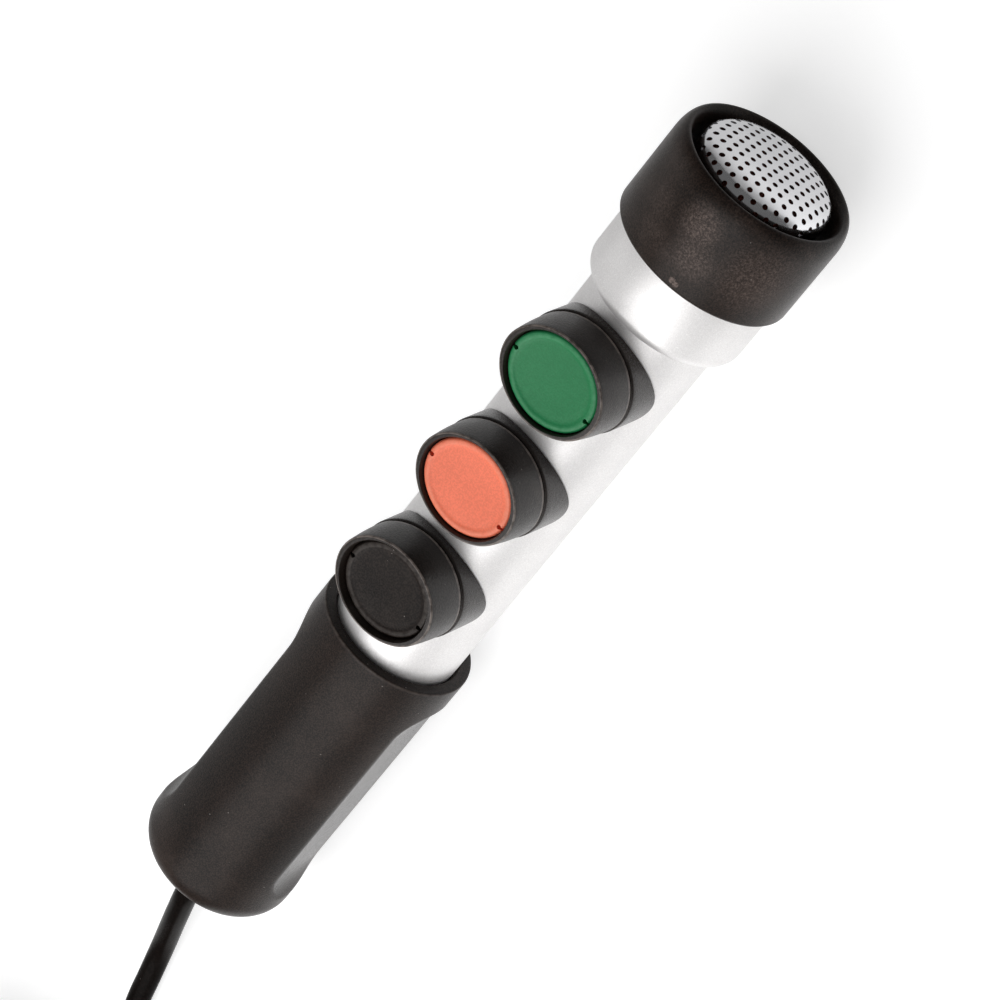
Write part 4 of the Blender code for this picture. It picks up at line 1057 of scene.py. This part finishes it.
for colour, place in BUTTON_PLACES.items():
    top = RIM_HEIGHT - CAP_BELOW_RIM[colour]
    sections = []
    for share in (0.02, 0.2, 0.4, 0.6, 0.75, 0.9, 1.0):
        along, across = (CAP_ALONG - DISH_INSET) * share, (CAP_ACROSS - DISH_INSET) * share
        sections.append((along, across, top - DISH_DEPTH + DISH_RISE * share**2))
    for out, down in CAP_BORDER:
        sections.append((CAP_ALONG - out, CAP_ACROSS - out, top - down))
    sections += rounded(CAP_ALONG, CAP_ACROSS, top - 0.00003, CAP_EDGE, 80, 0, 7)
    sections += [(CAP_ALONG, CAP_ACROSS, CAP_LOW), (CAP_RECESS, CAP_RECESS, CAP_LOW)]
    sections += [(CAP_RECESS, CAP_RECESS, top - CAP_WALL)]
    flesh, pale = CAP_COLOURS[colour]
    vary, gloss = (0.7, 0.12) if colour == "black" else (0.1, 0.25)
    name = f"cap_plastic_{colour}"
    material = moulded(
        name, flesh, pale, (0.36, 0.44), 2300, 0.00004, specks=0.03, specular=gloss, vary=vary
    )
    cap = add_piece(f"push_cap_{colour}", *loft(sections, place, closed=False), material)
    for side in (-1, 1):
        for inset, radius in CAP_NOTCH:
            notch = LYING @ Matrix.Translation((place - 0.0006, side * (CAP_ACROSS - inset), 0)) @ UPRIGHT
            low = top - 0.0016 - inset
            drill(cap, *turn([(top + 0.001, 0), (top + 0.001, radius), (low, radius), (low, 0)], 24, notch))
    # The crest of each border is marked at half strength, which makes it paler
    mark_wear(cap, lambda spot, place=place, top=top: 0.5 * between(spot.z, top - 0.0001, top + 0.0001))
    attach(cap, f"button_{colour}")
    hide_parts(f"cap_{colour}")


# SPRINGS
# A light coil spring of steel wire under each cap. It stands on the floor of the bezel's well and reaches up
# under the cap, which travels 2 mm.
SPRING_RADIUS = 0.0031
SPRING_WIRE_RADIUS = 0.00025
SPRING_TURNS = 4
TURN_STEPS = 24
SPRING_GAP = 0.0003 + SPRING_WIRE_RADIUS
spring_steel = turned_metal("spring_steel", (0.55, 0.55, 0.56), (0.25, 0.4), 6000.0)
for colour, place in BUTTON_PLACES.items():
    foot = WELL_FLOOR + SPRING_GAP
    head = RIM_HEIGHT - CAP_BELOW_RIM[colour] - CAP_WALL - SPRING_GAP
    line = []
    for step in range(TURN_STEPS * SPRING_TURNS + 1):
        angle = 2 * math.pi * step / TURN_STEPS
        height = foot + (head - foot) * step / (TURN_STEPS * SPRING_TURNS)
        along, across = SPRING_RADIUS * math.cos(angle), SPRING_RADIUS * math.sin(angle)
        line.append(LYING @ Vector((place + along, across, height)))
    wire = add_curve(f"wire_{colour}", line, SPRING_WIRE_RADIUS, 2)
    coil = bpy.data.meshes.new_from_object(wire.evaluated_get(bpy.context.evaluated_depsgraph_get()))
    bpy.data.objects.remove(wire)
    spring = stand(f"button_spring_{colour}", coil)
    coil.materials.append(spring_steel)
    coil.shade_smooth()
    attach(spring, "microphone")
    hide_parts(f"spring_{colour}")
    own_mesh(spring)


# PARTS INSIDE
# What the shells hide: the stiff core under the grip, the clamp that holds the lead, the switch board and its
# switches, plungers and nuts, the thin leads, and the capsule behind its foam in a rubber mount.
slate = (0.030, 0.030, 0.032)
inside_plastic = moulded("inside_plastic", slate, (0.10, 0.10, 0.10), (0.4, 0.5), 2500, 0.00001)
capsule_metal = turned_metal("capsule_metal", (0.62, 0.60, 0.55), (0.3, 0.45), 2500.0)
foam = moulded("foam", (0.20, 0.055, 0.035), (0.25, 0.09, 0.06), (0.9, 1.0), 1800, 0.0003, specks=0.02)
red_lead = moulded("red_lead", (0.45, 0.03, 0.02), (0.6, 0.2, 0.15), (0.35, 0.5), 2000, 0.00001)
grey_lead = moulded("grey_lead", (0.35, 0.35, 0.34), (0.5, 0.5, 0.5), (0.35, 0.5), 2000, 0.00001)


def board_laminate():
    # Green solder mask with copper tracks just showing through it
    made, tree, shader = new_material("board_laminate", coat=0.3)
    place = surface_place(tree)
    inputs = {"Vector": place, "Scale": 260.0}
    tracks = put(tree, "ShaderNodeTexVoronoi", inputs, feature="DISTANCE_TO_EDGE")
    mask = ramp(tree, tracks.outputs["Distance"], 0.06, 0.1, 1.0, 0.0)
    tone = mix_colours(tree, mask, (0.012, 0.10, 0.035, 1), (0.06, 0.26, 0.08, 1))
    tree.links.new(tone, shader.inputs["Base Color"])
    tree.links.new(ramp(tree, mask, 0, 1, 0.35, 0.25), shader.inputs["Roughness"])
    bump(tree, shader, mask, 0.00004)
    return made


INSIDE = {
    inside_plastic: ["grip_core", "cord_clamp", "switch_black", "switch_red", "switch_green"],
    hard_plastic: ["plunger_black", "plunger_red", "plunger_green"],
    gilt: ["nut_black", "nut_red", "nut_green", "clamp_screw_left", "clamp_screw_right"],
    board_laminate(): ["switch_board"],
    lead_pvc: ["cord_inner"],
    red_lead: ["cord_lead_1", "cord_lead_2", "cord_lead_3"],
    grey_lead: ["capsule_lead_1", "capsule_lead_2"],
    capsule_metal: ["capsule"],
    soft_rubber: ["capsule_mount"],
    foam: ["foam_disc"],
}
for material, names in INSIDE.items():
    for name in names:
        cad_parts[name].data.materials[0] = material


# TABLE AND LIGHT
# A plain white table with nothing behind it, a large soft lamp overhead and behind the grip, another at each
# side, and weak even light from all round. In reflections the table also shows a painted pool of light
# beside the microphone, brightest on its -Y side.
TABLE_HALF = 12
PAINTED_GLOW_LEAST = 0.15
SEEN_WHITE = 0.60
corners = [(x * TABLE_HALF, y * TABLE_HALF, 0) for x, y in ((-1, -1), (1, -1), (1, 1), (-1, 1))]
floor = bpy.data.meshes.new("table")
floor.from_pydata(corners, [], [(0, 1, 2, 3)])
table = stand("table", floor)
made, tree, shader = new_material("white_table", specular=0.1)
shader.inputs["Base Color"].default_value = (0.62, 0.62, 0.62, 1)
shader.inputs["Roughness"].default_value = 0.9
ray = put(tree, "ShaderNodeLightPath").outputs
place = surface_place(tree)
away = put(tree, "ShaderNodeVectorMath", {0: place}, operation="LENGTH").outputs["Value"]
ahead, across, _ = put(tree, "ShaderNodeSeparateXYZ", {0: place}).outputs
# A painted pool of light, seen only in reflections: full near the microphone and gone by half a metre, full
# on the -Y side and down to a little towards +Y, and gone beyond the head
painted_glow_pool = ramp(tree, away, 0.15, 0.5, 1.0, 0.0)
painted_glow_pool = calculate(tree, "MULTIPLY", painted_glow_pool, ramp(tree, across, -0.08, 0.10, 1.0, PAINTED_GLOW_LEAST))
painted_glow_pool = calculate(tree, "MULTIPLY", painted_glow_pool, ramp(tree, ahead, 0.14, 0.25, 1.0, 0.0))
seen = calculate(tree, "MULTIPLY", ray["Is Glossy Ray"], painted_glow_pool)
seen = calculate(tree, "MAXIMUM", calculate(tree, "MULTIPLY", ray["Is Camera Ray"], SEEN_WHITE), seen)
tree.links.new(seen, shader.inputs["Emission Strength"])
shader.inputs["Emission Color"].default_value = (1, 1, 1, 1)
floor.materials.append(made)


def softbox(name, place, aim, size, power):
    lamp = stand(name, bpy.data.lights.new(name, "AREA"))
    lamp.data.shape = "RECTANGLE"
    lamp.data.size, lamp.data.size_y = size
    lamp.data.energy = power
    lamp.location = place
    lamp.rotation_mode = "QUATERNION"
    lamp.rotation_quaternion = (Vector(aim) - Vector(place)).to_track_quat("-Z", "Y")


softbox("overhead", (-0.50, -0.18, 0.85), (0.0, 0, 0), (1.0, 1.0), 9.6)
softbox("near_side", (-0.40, -0.85, 0.45), (0, 0, 0), (1.2, 1.0), 3.0)
softbox("far_side", (-0.50, 0.85, 0.40), (0, 0, 0), (1.2, 1.0), 3.0)

world = bpy.data.worlds.new("studio")
bpy.context.scene.world = world
world.use_nodes = True
tree = world.node_tree
background = tree.nodes["Background"]
background.inputs["Color"].default_value = (1, 1, 1, 1)
ray = put(tree, "ShaderNodeLightPath").outputs
seen = calculate(tree, "MAXIMUM", ray["Is Camera Ray"], ray["Is Transmission Ray"])
tree.links.new(ramp(tree, seen, 0, 1, 0.15, 1.0), background.inputs["Strength"])

bpy.context.scene.view_settings.view_transform = "Standard"
